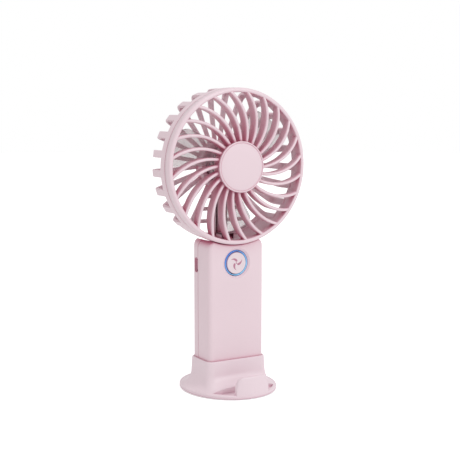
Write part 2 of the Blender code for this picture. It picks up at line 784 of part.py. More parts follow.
def rotor_parts():
    """The shaft, armature and commutator, which turn with the impeller."""
    paint(face_forward(rod_along_axis("motor_shaft", SHAFT_RADIUS, 6.4, -12.7, 24)), STEEL, 0.2, 1.0)
    core = [
        (9.2 * MM, -3.3 * MM),
        (9.2 * MM, -8.9 * MM),
        (SHAFT_RADIUS + GAP, -8.9 * MM),
        (SHAFT_RADIUS + GAP, -3.3 * MM),
    ]
    paint(face_forward(turned("armature", core, 20, closed=True)), COPPER, 0.4, 0.8)
    drum = [(2.4 * MM, -9.2 * MM), (2.4 * MM, -10.9 * MM), (1.3 * MM, -10.9 * MM), (1.3 * MM, -9.2 * MM)]
    paint(face_forward(turned("commutator", drum, 16, closed=True)), BRASS, 0.3, 1.0)


def rod_along_axis(name, radius, front, back, steps):
    """A rod about local Z between two forward distances in millimetres, before it is faced forward."""
    profile = [(0.0, front * MM), (radius, front * MM), (radius, back * MM), (0.0, back * MM)]
    return turned(name, profile, steps)


BLADES = 3
BLADE_START = math.radians(8.0)
BLADE_LEAD = math.radians(14.0)
BLADE_SPAN = math.radians(52.0)
BLADE_REACH = 29.9 * MM
BLADE_CHORDS = 8


def blade_point(index, along, part):
    """A point of the blade: 'along' runs from hub to tip, 'part' from its front edge to its rear edge."""
    rounding = 4.0 * MM * abs(2 * part - 1) ** 5
    radius = 12.7 * MM + (BLADE_REACH - rounding) * along
    span = BLADE_SPAN * (1.0 - 0.27 * along)
    angle = BLADE_START + math.tau * index / BLADES + BLADE_LEAD * along + span * part
    forward = (-4.4 + (10.6 - 1.6 * along) * (1 - part) + 1.6 * part * (1 - part)) * MM
    return (radius * math.cos(angle), radius * math.sin(angle), forward)


def impeller_blade(index):
    """A pitched blade that falls from front to rear as it goes round, with rounded outer corners."""
    shape = bmesh.new()
    rows = []
    for radial in range(6):
        places = [blade_point(index, radial / 5, chord / BLADE_CHORDS) for chord in range(BLADE_CHORDS + 1)]
        rows.append([shape.verts.new(place) for place in places])
    for inner, outer in zip(rows, rows[1:]):
        for chord in range(BLADE_CHORDS):
            shape.faces.new((inner[chord], outer[chord], outer[chord + 1], inner[chord + 1]))
    blade = piece_from(f"blade_tool_{index}", shape)
    thicken = blade.modifiers.new("thickness", "SOLIDIFY")
    thicken.thickness = 1.2 * MM
    thicken.offset = 0.0
    return face_forward(blade)


def impeller():
    hub = [
        (0.0, 7.6 * MM),
        (11.6 * MM, 7.6 * MM),
        (12.8 * MM, 6.8 * MM),
        (13.2 * MM, 5.6 * MM),
        (13.2 * MM, -0.2 * MM),
        (11.9 * MM, -0.2 * MM),
        (11.9 * MM, 5.4 * MM),
        (3.0 * MM, 5.4 * MM),
        (3.0 * MM, 1.6 * MM),
        (0.0, 1.6 * MM),
    ]
    fan = face_forward(turned("impeller", hub, 36))
    join_all(fan, [impeller_blade(index) for index in range(BLADES)])
    bore = rod("shaft_bore_tool", SHAFT_RADIUS + GAP, (0, -6.7 * MM, HEAD_Z), (0, 0.02, HEAD_Z), 24)
    cut(fan, bore)
    hollow = rod("hub_hollow_tool", 11.9 * MM, (0, -1.5 * MM, HEAD_Z), (0, 0.01, HEAD_Z), 36)
    cut(fan, hollow)
    return paint(smooth(fan), PALE_GREY, 0.3)


# ---------------------------------------------------------------- button and electronics


def button_parts():
    face = HANDLE_DEPTH / 2
    cap = [
        (0.0, face - 0.35 * MM),
        (BUTTON_RADIUS - 0.5 * MM, face - 0.3 * MM),
        (BUTTON_RADIUS, face - 0.7 * MM),
        (BUTTON_RADIUS, face - 2.2 * MM),
        (2.2 * MM, face - 2.2 * MM),
        (2.2 * MM, 5.4 * MM),
        (0.0, 5.4 * MM),
    ]
    paint(smooth(face_forward(turned("power_button", cap, 40), z=BUTTON_Z)), PINK, 0.34)
    ring = [
        (LIGHT_INNER, face - 0.55 * MM),
        (LIGHT_OUTER, face - 0.55 * MM),
        (LIGHT_OUTER, face - 4.2 * MM),
        (LIGHT_INNER, face - 4.2 * MM),
    ]
    blue = (0.25, 0.55, 0.95)
    ring_piece = face_forward(turned("light_ring", ring, 48, closed=True), z=BUTTON_Z)
    paint(smooth(ring_piece), blue, 0.3, glow=1.5)
    stem = rod("switch_stem", 1.6 * MM, (0, -5.1 * MM, BUTTON_Z), (0, -0.2 * MM, BUTTON_Z))
    paint(stem, DARK, 0.5)
    half = 3.0 * MM
    body = box("switch_body", (-half, -1.6 * MM, BUTTON_Z - half), (half, 1.9 * MM, BUTTON_Z + half))
    cut(body, rod("stem_hole_tool", 1.9 * MM, (0, -4.0 * MM, BUTTON_Z), (0, 1.4 * MM, BUTTON_Z)))
    paint(body, DARK, 0.5)


def usb_socket():
    """A steel shell that opens to the handle's left side, a vertical oblong in section."""
    socket = plate("usb_socket", rounded_rectangle(PORT_HEIGHT, PORT_WIDTH, 1.4 * MM, 5), 7.3 * MM)
    socket.rotation_euler = (0.0, math.pi / 2, 0.0)
    socket.location = (-15.65 * MM, PORT_Y, PORT_Z)
    mouth = rounded_rectangle(PORT_HEIGHT - 0.6 * MM, PORT_WIDTH - 0.6 * MM, 1.1 * MM, 5)
    hollow = plate("socket_hollow_tool", mouth, 7.3 * MM)
    hollow.rotation_euler = (0.0, math.pi / 2, 0.0)
    hollow.location = (-17.0 * MM, PORT_Y, PORT_Z)
    return paint(smooth(cut(socket, hollow)), STEEL, 0.3, 1.0)


def electronics():
    board = box(
        "control_board",
        (-17.4 * MM, BOARD_FRONT_Y, BOARD_LOW),
        (15.0 * MM, BOARD_BACK_Y, BOARD_TOP),
    )
    paint(board, GREEN, 0.45)
    usb_socket()
    back = BOARD_BACK_Y + GAP
    front = BOARD_FRONT_Y - GAP
    paint(box("charger_chip", (-8.5 * MM, back, 0.077), (-4.5 * MM, back + 1.4 * MM, 0.081)), DARK, 0.5)
    paint(box("driver_chip", (5.5 * MM, back, 0.0765), (9.0 * MM, back + 1.4 * MM, 0.080)), DARK, 0.5)
    coil = rod("inductor", 2.6 * MM, (9.5 * MM, front, 0.0792), (9.5 * MM, front - 2.4 * MM, 0.0792))
    paint(coil, (0.18, 0.17, 0.16), 0.6)
    for name, side in (("status_led_left", -1), ("status_led_right", 1)):
        middle = side * (LIGHT_INNER + LIGHT_OUTER) / 2
        low = (middle - 0.6 * MM, front - 0.7 * MM, BUTTON_Z + 0.6 * MM)
        paint(box(name, low, (middle + 0.6 * MM, front, BUTTON_Z + 1.8 * MM)), (0.9, 0.92, 0.95), 0.3)


def battery_parts():
    top = CELL_LOW + CELL_LENGTH
    cell = [
        (0.0, top + 0.8 * MM),
        (2.9 * MM, top + 0.8 * MM),
        (2.9 * MM, top),
        (CELL_RADIUS - 0.5 * MM, top),
        (CELL_RADIUS, top - 0.5 * MM),
        (CELL_RADIUS, CELL_LOW),
        (0.0, CELL_LOW),
    ]
    paint(smooth(turned("battery_cell", cell, 32)), (0.10, 0.22, 0.45), 0.4)
    tab = (4.0 * MM, 3.0 * MM)
    low = top + 0.8 * MM + GAP
    paint(box("battery_tab_positive", (-tab[0], -tab[1], low), (*tab, low + 0.3 * MM)), STEEL, 0.3, 1.0)
    high = CELL_LOW - GAP
    paint(box("battery_tab_negative", (-tab[0], -tab[1], high - 0.3 * MM), (*tab, high)), STEEL, 0.3, 1.0)
    foam = rod("battery_foam", 8.0 * MM, (0, 0, 5.9 * MM), (0, 0, 6.7 * MM), 20)
    paint(foam, (0.10, 0.10, 0.10), 0.95)


def smooth_path(points, steps=5):
    """Points along a smooth curve through the given ones."""
    places = [Vector(point) * MM for point in points]
    ends = [2 * places[0] - places[1], *places, 2 * places[-1] - places[-2]]
    path = []
    for before, start, end, after in zip(ends, ends[1:], ends[2:], ends[3:]):
        for step in range(steps):
            part = step / steps
            slope_in = (end - before) / 2
            slope_out = (after - start) / 2
            path.append(
                (2 * part**3 - 3 * part**2 + 1) * start
                + (part**3 - 2 * part**2 + part) * slope_in
                + (3 * part**2 - 2 * part**3) * end
                + (part**3 - part**2) * slope_out
            )
    path.append(places[-1])
    return path


def motor_lead_route(side):
    """From the board up through the neck and the duct behind the impeller to a motor terminal."""
    return [
        (side * 1.2, 4.3, 84.0),
        (side * 1.2, 3.4, 90.0),
        (side * 1.2, 3.6, 96.8),
        (side * 1.2, 5.4, 98.7),
        (side * 1.2, 8.0, 98.9),
        (side * 1.3, 9.9, 101.0),
        (side * 1.5, 9.9, 108.0),
        (side * 2.0, 9.9, 120.0),
        (side * 2.4, 11.2, 129.3),
    ]


BATTERY_RED_ROUTE = ((2.5, -3.8, 74.1), (4.5, -5.4, 75.4), (5.2, -2.4, 77.0), (5.2, 1.3, 78.2))
BATTERY_BLACK_ROUTE = (
    (4.8, 0.0, 7.3),
    (8.8, 2.8, 7.3),
    (10.5, 4.6, 7.3),
    (11.2, 7.0, 12.0),
    (11.2, 7.2, 40.0),
    (11.2, 7.2, 66.0),
    (11.4, 5.6, 74.0),
    (11.4, 4.4, 77.0),
)


def leads():
    red = (0.55, 0.03, 0.03)
    for name, side, colour in (("motor_lead_red", -1, red), ("motor_lead_black", 1, DARK)):
        paint(tube(name, smooth_path(motor_lead_route(side), 3), 0.5 * MM), colour, 0.5)
    paint(tube("battery_lead_red", smooth_path(BATTERY_RED_ROUTE, 3), 0.45 * MM), red, 0.5)
    paint(tube("battery_lead_black", smooth_path(BATTERY_BLACK_ROUTE, 3), 0.45 * MM), DARK, 0.5)


def main():
    clear_scene()
    make_collection(PARTS)
    make_collection(TOOLS)
    dock_base()
    dock_pad()
    handle_front()
    handle_rear()
    screws()
    front_grille()
    grille_cap()
    rear_cage()
    motor_parts()
    rotor_parts()
    impeller()
    button_parts()
    electronics()
    battery_parts()
    leads()


main()
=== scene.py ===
"""Detailed look of a handheld electric fan in its dock. Metres, +Z up, the fan's front faces -Y."""

import math

import bmesh
import bpy
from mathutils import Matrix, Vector


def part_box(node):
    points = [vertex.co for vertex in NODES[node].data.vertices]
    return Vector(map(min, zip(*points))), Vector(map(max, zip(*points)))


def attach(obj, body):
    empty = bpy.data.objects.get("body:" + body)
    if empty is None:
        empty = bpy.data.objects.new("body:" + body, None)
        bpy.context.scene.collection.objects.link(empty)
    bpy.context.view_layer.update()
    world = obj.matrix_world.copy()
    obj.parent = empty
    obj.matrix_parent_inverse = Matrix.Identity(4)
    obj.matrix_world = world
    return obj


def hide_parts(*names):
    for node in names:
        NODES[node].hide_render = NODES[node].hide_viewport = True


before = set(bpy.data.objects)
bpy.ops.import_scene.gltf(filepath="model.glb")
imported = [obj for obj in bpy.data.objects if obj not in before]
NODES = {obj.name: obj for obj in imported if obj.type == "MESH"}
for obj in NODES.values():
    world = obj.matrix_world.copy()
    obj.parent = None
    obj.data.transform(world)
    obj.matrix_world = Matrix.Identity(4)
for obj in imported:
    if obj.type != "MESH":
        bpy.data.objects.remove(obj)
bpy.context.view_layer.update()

MM = 0.001

GRILLE_LOW, GRILLE_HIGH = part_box("front_grille")
HANDLE_LOW, HANDLE_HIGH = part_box("handle_front")
REAR_LOW, REAR_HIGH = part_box("handle_rear")
CAP_LOW, CAP_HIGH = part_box("grille_cap")
RING_LOW, RING_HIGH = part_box("light_ring")
BUTTON_LOW, BUTTON_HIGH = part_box("power_button")
DOCK_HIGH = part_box("dock_base")[1]
SOCKET_LOW, SOCKET_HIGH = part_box("usb_socket")

HEAD_Z = (GRILLE_LOW.z + GRILLE_HIGH.z) / 2
HEAD_RADIUS = (GRILLE_HIGH.z - GRILLE_LOW.z) / 2
CAP_RADIUS = (CAP_HIGH.z - CAP_LOW.z) / 2
CAP_FRONT = -CAP_LOW.y
PARTING = -GRILLE_HIGH.y
CAGE_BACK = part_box("rear_cage")[1].y
HANDLE_HALF = HANDLE_HIGH.x
HANDLE_FACE = -HANDLE_LOW.y
BUTTON_Z = (BUTTON_LOW.z + BUTTON_HIGH.z) / 2
BUTTON_RADIUS = (BUTTON_HIGH.z - BUTTON_LOW.z) / 2
LIGHT_OUTER = (RING_HIGH.z - RING_LOW.z) / 2
PORT_Y = (SOCKET_LOW.y + SOCKET_HIGH.y) / 2
PORT_Z = (SOCKET_LOW.z + SOCKET_HIGH.z) / 2
FOOT_X = DOCK_HIGH.x
FOOT_Y = DOCK_HIGH.y
COLLAR_TOP = DOCK_HIGH.z
STRAIGHT_DOWN = 1.5 * math.pi
SCREWS = [f"handle_screw_{number}" for number in range(1, 5)] + ["neck_screw_1", "neck_screw_2"]


# ---------------------------------------------------------------- materials

MIX_FACTOR, MIX_FIRST, MIX_SECOND = 0, 6, 7  # a colour Mix node's input sockets
MIX_RESULT = 2
NOISE_LOW, NOISE_HIGH = 0.3, 0.7  # most of what a noise node gives lies between these
SHUT_IN, OPEN_SKY = 0.22, 0.92  # occlusion where plastic shows its painted recess shade in full, and where it shows its surface tone
FINE_BUMP = 0.02 * MM


def new_material(name, colour, roughness, metallic=0.0):
    surface = bpy.data.materials.new(name)
    surface.use_nodes = True
    shader = surface.node_tree.nodes["Principled BSDF"]
    shader.inputs["Base Color"].default_value = (*colour, 1.0)
    shader.inputs["Roughness"].default_value = roughness
    shader.inputs["Metallic"].default_value = metallic
    return surface, surface.node_tree, shader


def noise(tree, scale, detail=3.0, stretch=None):
    place = tree.nodes.new("ShaderNodeTexCoord")
    pattern = tree.nodes.new("ShaderNodeTexNoise")
    pattern.inputs["Scale"].default_value = scale
    pattern.inputs["Detail"].default_value = detail
    socket = place.outputs["Object"]
    if stretch:
        mapping = tree.nodes.new("ShaderNodeMapping")
        mapping.inputs["Scale"].default_value = stretch
        tree.links.new(socket, mapping.inputs["Vector"])
        socket = mapping.outputs["Vector"]
    tree.links.new(socket, pattern.inputs["Vector"])
    return pattern.outputs["Fac"]


def spread(tree, value, low, high):
    """A noise value mapped to the range low to high."""
    node = tree.nodes.new("ShaderNodeMapRange")
    node.inputs["From Min"].default_value = NOISE_LOW
    node.inputs["From Max"].default_value = NOISE_HIGH
    node.inputs["To Min"].default_value = low
    node.inputs["To Max"].default_value = high
    tree.links.new(value, node.inputs["Value"])
    return node.outputs["Result"]


def mix_colours(tree, factor, first, second):
    node = tree.nodes.new("ShaderNodeMix")
    node.data_type = "RGBA"
    for index, value in ((MIX_FACTOR, factor), (MIX_FIRST, first), (MIX_SECOND, second)):
        socket = node.inputs[index]
        if isinstance(value, bpy.types.NodeSocket):
            tree.links.new(value, socket)
        elif isinstance(value, tuple):
            socket.default_value = (*value, 1.0)
        else:
            socket.default_value = value
    return node.outputs[MIX_RESULT]


def bumped(tree, shader, height, strength, distance):
    bump = tree.nodes.new("ShaderNodeBump")
    bump.inputs["Strength"].default_value = strength
    bump.inputs["Distance"].default_value = distance
    tree.links.new(height, bump.inputs["Height"])
    tree.links.new(bump.outputs["Normal"], shader.inputs["Normal"])


def plastic(name, colour, recess_shade, roughness, grain=1400.0, strength=0.06, reach=8 * MM):
    """Moulded plastic: a fine spark texture, a slow drift of tone, and painted shade, a darker tone mixed
    in where occlusion finds recesses and gaps.
    """
    surface, tree, shader = new_material(name, colour, roughness)
    drift = spread(tree, noise(tree, 22.0, 2.0), 0.0, 1.0)
    lighter = tuple(min(1.0, part * 1.015) for part in colour)
    darker = tuple(part * 0.985 for part in colour)
    tone = mix_colours(tree, drift, darker, lighter)
    # Painted shade: occlusion mixes the recess shade colour into the base colour in corners, creases and
    # between parts.
    shade = tree.nodes.new("ShaderNodeAmbientOcclusion")
    shade.inputs["Distance"].default_value = reach
    shade.samples = 6
    curve = tree.nodes.new("ShaderNodeMapRange")
    curve.inputs["From Min"].default_value = SHUT_IN
    curve.inputs["From Max"].default_value = OPEN_SKY
    tree.links.new(shade.outputs["AO"], curve.inputs["Value"])
    tree.links.new(mix_colours(tree, curve.outputs["Result"], recess_shade, tone), shader.inputs["Base Color"])
    rough = spread(tree, noise(tree, 60.0, 3.0), roughness - 0.03, roughness + 0.03)
    tree.links.new(rough, shader.inputs["Roughness"])
    bumped(tree, shader, noise(tree, grain, 2.0), strength, FINE_BUMP)
    shader.inputs["Specular IOR Level"].default_value = 0.5
    return surface


def metal(name, colour, roughness, stretch=(1.0, 1.0, 30.0)):
    """Drawn or turned metal with fine streaks."""
    surface, tree, shader = new_material(name, colour, roughness, 1.0)
    streaks = noise(tree, 90.0, 4.0, stretch)
    tree.links.new(spread(tree, streaks, roughness - 0.08, roughness + 0.1), shader.inputs["Roughness"])
    worn = tuple(part * 0.8 for part in colour)
    tree.links.new(mix_colours(tree, streaks, worn, colour), shader.inputs["Base Color"])
    bumped(tree, shader, streaks, 0.08, FINE_BUMP)
    return surface


def rubber(name, colour):
    """A rough, dull surface with a fine grain."""
    surface, tree, shader = new_material(name, colour, 0.85)
    cells = noise(tree, 900.0, 4.0)
    darker = tuple(part * 0.7 for part in colour)
    tree.links.new(mix_colours(tree, cells, darker, colour), shader.inputs["Base Color"])
    bumped(tree, shader, cells, 0.3, 0.05 * MM)
    return surface


def windings(name):
    """Lacquered copper wire: fine turns seen as stripes, with painted shade in the grooves between turns
    and a painted highlight on their crests.
    """
    copper = (0.72, 0.33, 0.18)
    # Painted light: the groove colour is shade between turns, the crest colour a highlight.
    groove, crest = (0.35, 0.13, 0.06), (0.78, 0.38, 0.22)
    surface, tree, shader = new_material(name, copper, 0.35, 0.9)
    place = tree.nodes.new("ShaderNodeTexCoord")
    wave = tree.nodes.new("ShaderNodeTexWave")
    wave.bands_direction = "Y"
    wave.inputs["Scale"].default_value = 900.0
    tree.links.new(place.outputs["Object"], wave.inputs["Vector"])
    stripes = mix_colours(tree, wave.outputs["Fac"], groove, crest)
    tree.links.new(stripes, shader.inputs["Base Color"])
    bumped(tree, shader, wave.outputs["Fac"], 0.6, 0.1 * MM)
    return surface


def light_guide(name):
    """The lit ring, its colour a painted shade and highlight: dark blue at the upper left, paler cyan at
    the lower right.
    """
    # Painted light: the blue end stands for shade and the cyan end for highlight, in base and emission
    # colour alike.
    blue, cyan = (0.10, 0.27, 0.76), (0.30, 0.62, 0.88)
    reach = 11 * MM
    surface, tree, shader = new_material(name, (0.25, 0.55, 0.95), 0.25)
    place = tree.nodes.new("ShaderNodeTexCoord")
    apart = tree.nodes.new("ShaderNodeSeparateXYZ")
    tree.links.new(place.outputs["Object"], apart.inputs["Vector"])
    across = tree.nodes.new("ShaderNodeMath")
    across.operation = "SUBTRACT"
    tree.links.new(apart.outputs["X"], across.inputs[0])
    tree.links.new(apart.outputs["Z"], across.inputs[1])
    ramp = tree.nodes.new("ShaderNodeMapRange")
    ramp.inputs["From Min"].default_value = -BUTTON_Z - reach
    ramp.inputs["From Max"].default_value = -BUTTON_Z + reach
    tree.links.new(across.outputs["Value"], ramp.inputs["Value"])
    glow = mix_colours(tree, ramp.outputs["Result"], blue, cyan)
    tree.links.new(glow, shader.inputs["Base Color"])
    tree.links.new(glow, shader.inputs["Emission Color"])
    shader.inputs["Emission Strength"].default_value = 0.35
    return surface


IMPELLER_ALPHA = 0.4

# Each plastic's second colour is painted shade, shown where occlusion finds recesses and gaps between
# parts.
SHELL = plastic("shell_pink", (0.79, 0.622, 0.672), (0.60, 0.14, 0.25), 0.36, reach=10 * MM)
DOCK_PINK = plastic("dock_pink", (0.80, 0.65, 0.70), (0.72, 0.47, 0.55), 0.36, reach=4 * MM)
BUTTON_PINK = plastic("button_pink", (0.78, 0.65, 0.69), (0.58, 0.28, 0.36), 0.33)
SYMBOL = plastic("symbol_rose", (0.48, 0.19, 0.28), (0.40, 0.14, 0.22), 0.4)
# The impeller's rosy second colour is painted shade tinted with painted pink light bounced from the shell.
GREY = plastic("impeller_grey", (0.64, 0.64, 0.62), (0.64, 0.44, 0.50), 0.28)
GREY.node_tree.nodes["Principled BSDF"].inputs["Alpha"].default_value = IMPELLER_ALPHA
PORT_ROSE = plastic("port_rose", (0.78, 0.46, 0.55), (0.66, 0.33, 0.43), 0.45)
IVORY = plastic("endcap_ivory", (0.72, 0.70, 0.64), (0.4, 0.36, 0.3), 0.5)
BLACK = plastic("black_moulding", (0.028, 0.028, 0.032), (0.01, 0.01, 0.012), 0.45)
BOARD = plastic("board_green", (0.02, 0.19, 0.09), (0.01, 0.08, 0.04), 0.35, 500.0, 0.2)
CELL = plastic("cell_wrap", (0.06, 0.17, 0.42), (0.03, 0.08, 0.2), 0.3)
RED = plastic("wire_red", (0.5, 0.02, 0.02), (0.25, 0.01, 0.01), 0.4)
CLEAR = plastic("led_resin", (0.85, 0.88, 0.92), (0.5, 0.55, 0.6), 0.15)
PAD = rubber("pad_rubber", (0.11, 0.09, 0.095))
FOAM = rubber("cell_foam", (0.10, 0.10, 0.10))
FERRITE = rubber("ferrite", (0.05, 0.05, 0.055))
STEEL = metal("steel", (0.62, 0.62, 0.64), 0.28)
BRASS = metal("brass", (0.75, 0.55, 0.26), 0.3)
COPPER = windings("windings")
GLOW = light_guide("light_guide")


# ---------------------------------------------------------------- shapes

WELD = 0.0005 * MM
MOST_OF_SIDE = 0.45  # the share of a side that one corner's rounding may take


def piece_from(name, shape, surface, body, smooth_angle=40.0):
    """The finished piece, riding on its body, smooth except where faces meet at more than the angle."""
    bmesh.ops.recalc_face_normals(shape, faces=shape.faces)
    mesh = bpy.data.meshes.new(name)
    shape.to_mesh(mesh)
    shape.free()
    mesh.materials.append(surface)
    mesh.shade_smooth()
    mesh.set_sharp_from_angle(angle=math.radians(smooth_angle))
    piece = bpy.data.objects.new(name, mesh)
    bpy.context.scene.collection.objects.link(piece)
    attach(piece, body)
    return piece


def add_grid(shape, rows, ring=True, around=False, ends=False):
    """Faces between rows of points. ring closes each row, around joins the last row to the first."""
    levels = [[shape.verts.new(point) for point in row] for row in rows]
    if around:
        levels.append(levels[0])
    count = len(levels[0])
    for lower, upper in zip(levels, levels[1:]):
        for index in range(count if ring else count - 1):
            after = (index + 1) % count
            shape.faces.new((lower[index], lower[after], upper[after], upper[index]))
    if ends:
        shape.faces.new(list(reversed(levels[0])))
        shape.faces.new(levels[-1])
    return levels


def turned(shape, profile, steps=160, closed=True, centre=HEAD_Z):
    """A profile of (radius, forward) points turned about the level axis at height centre."""
    rows = []
    for step in range(steps):
        turn = math.tau * step / steps
        rows.append(
            [Vector((r * math.cos(turn), -f, centre + r * math.sin(turn))) for r, f in profile]
        )
    add_grid(shape, rows, ring=closed, around=True)
    bmesh.ops.remove_doubles(shape, verts=shape.verts, dist=WELD)


def millimetres(pairs):
    return [(first * MM, second * MM) for first, second in pairs]


def softened(points, radius, steps=3, closed=True):
    """A polygon of 2D points whose corners are rounded by up to radius."""
    places = [Vector(point) for point in points]
    count = len(places)
    result = []
    for index, corner in enumerate(places):
        if not closed and index in (0, count - 1):
            result.append(tuple(corner))
            continue
        before = places[index - 1]
        after = places[(index + 1) % count]
        shorter = min((before - corner).length, (after - corner).length)
        reach = min(radius, shorter * MOST_OF_SIDE)
        start = corner + (before - corner).normalized() * reach
        end = corner + (after - corner).normalized() * reach
        for step in range(steps + 1):
            part = step / steps
            spot = (1 - part) ** 2 * start + 2 * part * (1 - part) * corner + part**2 * end
            result.append(tuple(spot))
    return result


def rounded_rectangle(width, depth, corner, corner_steps=12, side_steps=1):
    outline = []
    for quarter, (sign_x, sign_y) in enumerate(((1, 1), (-1, 1), (-1, -1), (1, -1))):
        centre = Vector((sign_x * (width / 2 - corner), sign_y * (depth / 2 - corner)))
        for step in range(corner_steps + 1):
            turn = (quarter + step / corner_steps) * math.pi / 2
            outline.append(centre + corner * Vector((math.cos(turn), math.sin(turn))))
    divided = []
    for index, point in enumerate(outline):
        divided.append(point)
        if index % (corner_steps + 1) == corner_steps:
            following = outline[(index + 1) % len(outline)]
            for step in range(1, side_steps):
                divided.append(point.lerp(following, step / side_steps))
    return divided


def ellipse(half_x, half_y, steps=160):
    turns = (math.tau * step / steps for step in range(steps))
    return [Vector((half_x * math.cos(turn), half_y * math.sin(turn))) for turn in turns]


def prism(name, outline, low, high, place=lambda x, y, h: (x, y, h)):
    """A closed solid over a 2D outline, between two heights, as a tool for cutting."""
    shape = bmesh.new()
    rows = [[Vector(place(x, y, height)) for x, y in outline] for height in (low, high)]
    add_grid(shape, rows, ends=True)
    return tool_from(name, shape)


def tool_from(name, shape):
    bmesh.ops.recalc_face_normals(shape, faces=shape.faces)
    mesh = bpy.data.meshes.new(name)
    shape.to_mesh(mesh)
    shape.free()
    tool = bpy.data.objects.new(name, mesh)
    bpy.context.scene.collection.objects.link(tool)
    return tool


def turned_tool(name, profile, centre, steps=128):
    shape = bmesh.new()
    turned(shape, profile, steps, closed=True, centre=centre)
    return tool_from(name, shape)


def combined(base, steps):
    """The base object's mesh after a list of (operation, tool) Booleans. The tools are removed."""
    for operation, tool in steps:
        modifier = base.modifiers.new(operation, "BOOLEAN")
        modifier.operation = operation
        modifier.solver = "EXACT"
        modifier.object = tool
    graph = bpy.context.evaluated_depsgraph_get()
    mesh = bpy.data.meshes.new_from_object(base.evaluated_get(graph))
    shape = bmesh.new()
    shape.from_mesh(mesh)
    for item in [base] + [tool for _, tool in steps]:
        data = item.data
        bpy.data.objects.remove(item)
        bpy.data.meshes.remove(data)
    bpy.data.meshes.remove(mesh)
    return shape


# ---------------------------------------------------------------- front grille and cap

FRONT_RIBS = 24
RIB_START = math.radians(13.45)  # the first rib's angle at SWEEP_FROM
RIB_SWEEP = math.radians(21.2)
RIB_BOW = math.radians(-5.8)
SWEEP_FROM, SWEEP_LENGTH = 17.5 * MM, 27.0 * MM
RIB_INNER, RIB_OUTER = 13.6, 47.2  # millimetres
RIB_HALF = 1.0 * MM
RIB_FOOT_HALF = 0.72 * MM
RIB_FOOT = 9.4 * MM
RIB_SHOULDER = 2.4 * MM
LEVEL_FROM, LEVEL_LENGTH = 14.0 * MM, 33.4 * MM
GRILLE_FACE = 14.6 * MM
GRILLE_INNER = 46.4 * MM
GRILLE_ROUND = 1.5 * MM
HUB_RADIUS, HUB_FACE, HUB_BACK = 15.2, 16.0, 9.0  # millimetres
CAP_BOSS = 5.0  # millimetres


def rib_angle(radius, index):
    """The angle of a rib's middle line at a radius."""
    along = (radius - SWEEP_FROM) / SWEEP_LENGTH
    sweep = RIB_SWEEP * along + RIB_BOW * along * (1 - along)
    return RIB_START + math.tau * index / FRONT_RIBS + sweep


def rib_front(radius):
    """How far forward a rib's front edge stands: bulging in the middle, low where it meets the ring."""
    along = (radius - LEVEL_FROM) / LEVEL_LENGTH
    return (15.9 + 3.2 * along * (1 - along) - 1.7 * along**8) * MM


def rib_place(radius, index):
    """A point of a rib's middle line, as seen from the front with the axle at the origin."""
    turn = rib_angle(radius, index)
    return Vector((radius * math.cos(turn), radius * math.sin(turn)))


def front_rib(shape, index):
    """A deep, thin rib with a round front edge, along its swept path."""
    rows = []
    steps = 22
    for step in range(steps + 1):
        radius = (RIB_INNER + (RIB_OUTER - RIB_INNER) * step / steps) * MM
        here = rib_place(radius, index)
        ahead = rib_place(radius + 0.2 * MM, index) - rib_place(radius - 0.2 * MM, index)
        ahead.normalize()
        across = Vector((-ahead.y, ahead.x))
        front = rib_front(radius)
        shoulder = front - RIB_SHOULDER
        section = [(-RIB_FOOT_HALF, RIB_FOOT), (RIB_FOOT_HALF, RIB_FOOT), (RIB_HALF, shoulder)]
        for part in range(9):
            turn = math.pi * part / 8
            section.append((RIB_HALF * math.cos(turn), front - RIB_HALF + RIB_HALF * math.sin(turn)))
        section.append((-RIB_HALF, shoulder))
        row = []
        for side, forward in section:
            spot = here + across * side
            row.append(Vector((spot.x, -forward, HEAD_Z + spot.y)))
        rows.append(row)
    add_grid(shape, rows, ends=True)


def front_grille():
    """The ring, the hub under the cap and the ribs between them."""
    shape = bmesh.new()
    ring = [
        (GRILLE_INNER, PARTING + 0.05 * MM),
        (HEAD_RADIUS - 0.15 * MM, PARTING + 0.05 * MM),
        (HEAD_RADIUS, PARTING + 0.2 * MM),
    ]
    for part in range(7):
        turn = math.pi / 2 * part / 6
        inset = GRILLE_ROUND * (1 - math.cos(turn))
        drop = GRILLE_ROUND * (1 - math.sin(turn))
        ring.append((HEAD_RADIUS - inset, GRILLE_FACE - drop))
    for out, drop in millimetres([(0.55, 0.0), (0.4, 0.06), (0.25, 0.2), (0.1, 0.25), (0.0, 0.4)]):
        ring.append((GRILLE_INNER + out, GRILLE_FACE - drop))
    turned(shape, ring, 192)
    r = HUB_RADIUS
    f = HUB_FACE
    hub = [
        (0, f), (r - 0.6, f), (r - 0.2, f - 0.15), (r, f - 0.5),
        (r, HUB_BACK + 0.2), (r - 0.2, HUB_BACK), (0, HUB_BACK),
    ]
    turned(shape, millimetres(hub), 128, closed=False)
    for index in range(FRONT_RIBS):
        front_rib(shape, index)
    piece = piece_from("front_grille_detail", shape, SHELL, "fan", 50.0)
    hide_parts("front_grille")


def grille_cap():
    """The round cap with a groove inside its raised rim, and the boss behind it."""
    shape = bmesh.new()
    r = CAP_RADIUS / MM
    f = CAP_FRONT / MM
    profile = [
        (0, f - 0.12), (r * 0.5, f - 0.13), (r - 1.55, f - 0.16), (r - 1.3, f - 0.22), (r - 1.15, f - 0.42),
        (r - 1.02, f - 0.46), (r - 0.9, f - 0.36), (r - 0.78, f - 0.12), (r - 0.6, f - 0.01), (r - 0.42, f),
        (r - 0.2, f - 0.1), (r - 0.05, f - 0.32), (r, f - 0.65), (r, f - 1.65), (r - 0.1, f - 1.75),
        (CAP_BOSS, f - 1.75), (CAP_BOSS, f - 5.0), (0, f - 5.05),
    ]
    turned(shape, millimetres(profile), 160, closed=False)
    piece = piece_from("grille_cap_detail", shape, SHELL, "fan", 60.0)
    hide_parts("grille_cap")


# ---------------------------------------------------------------- rear cage

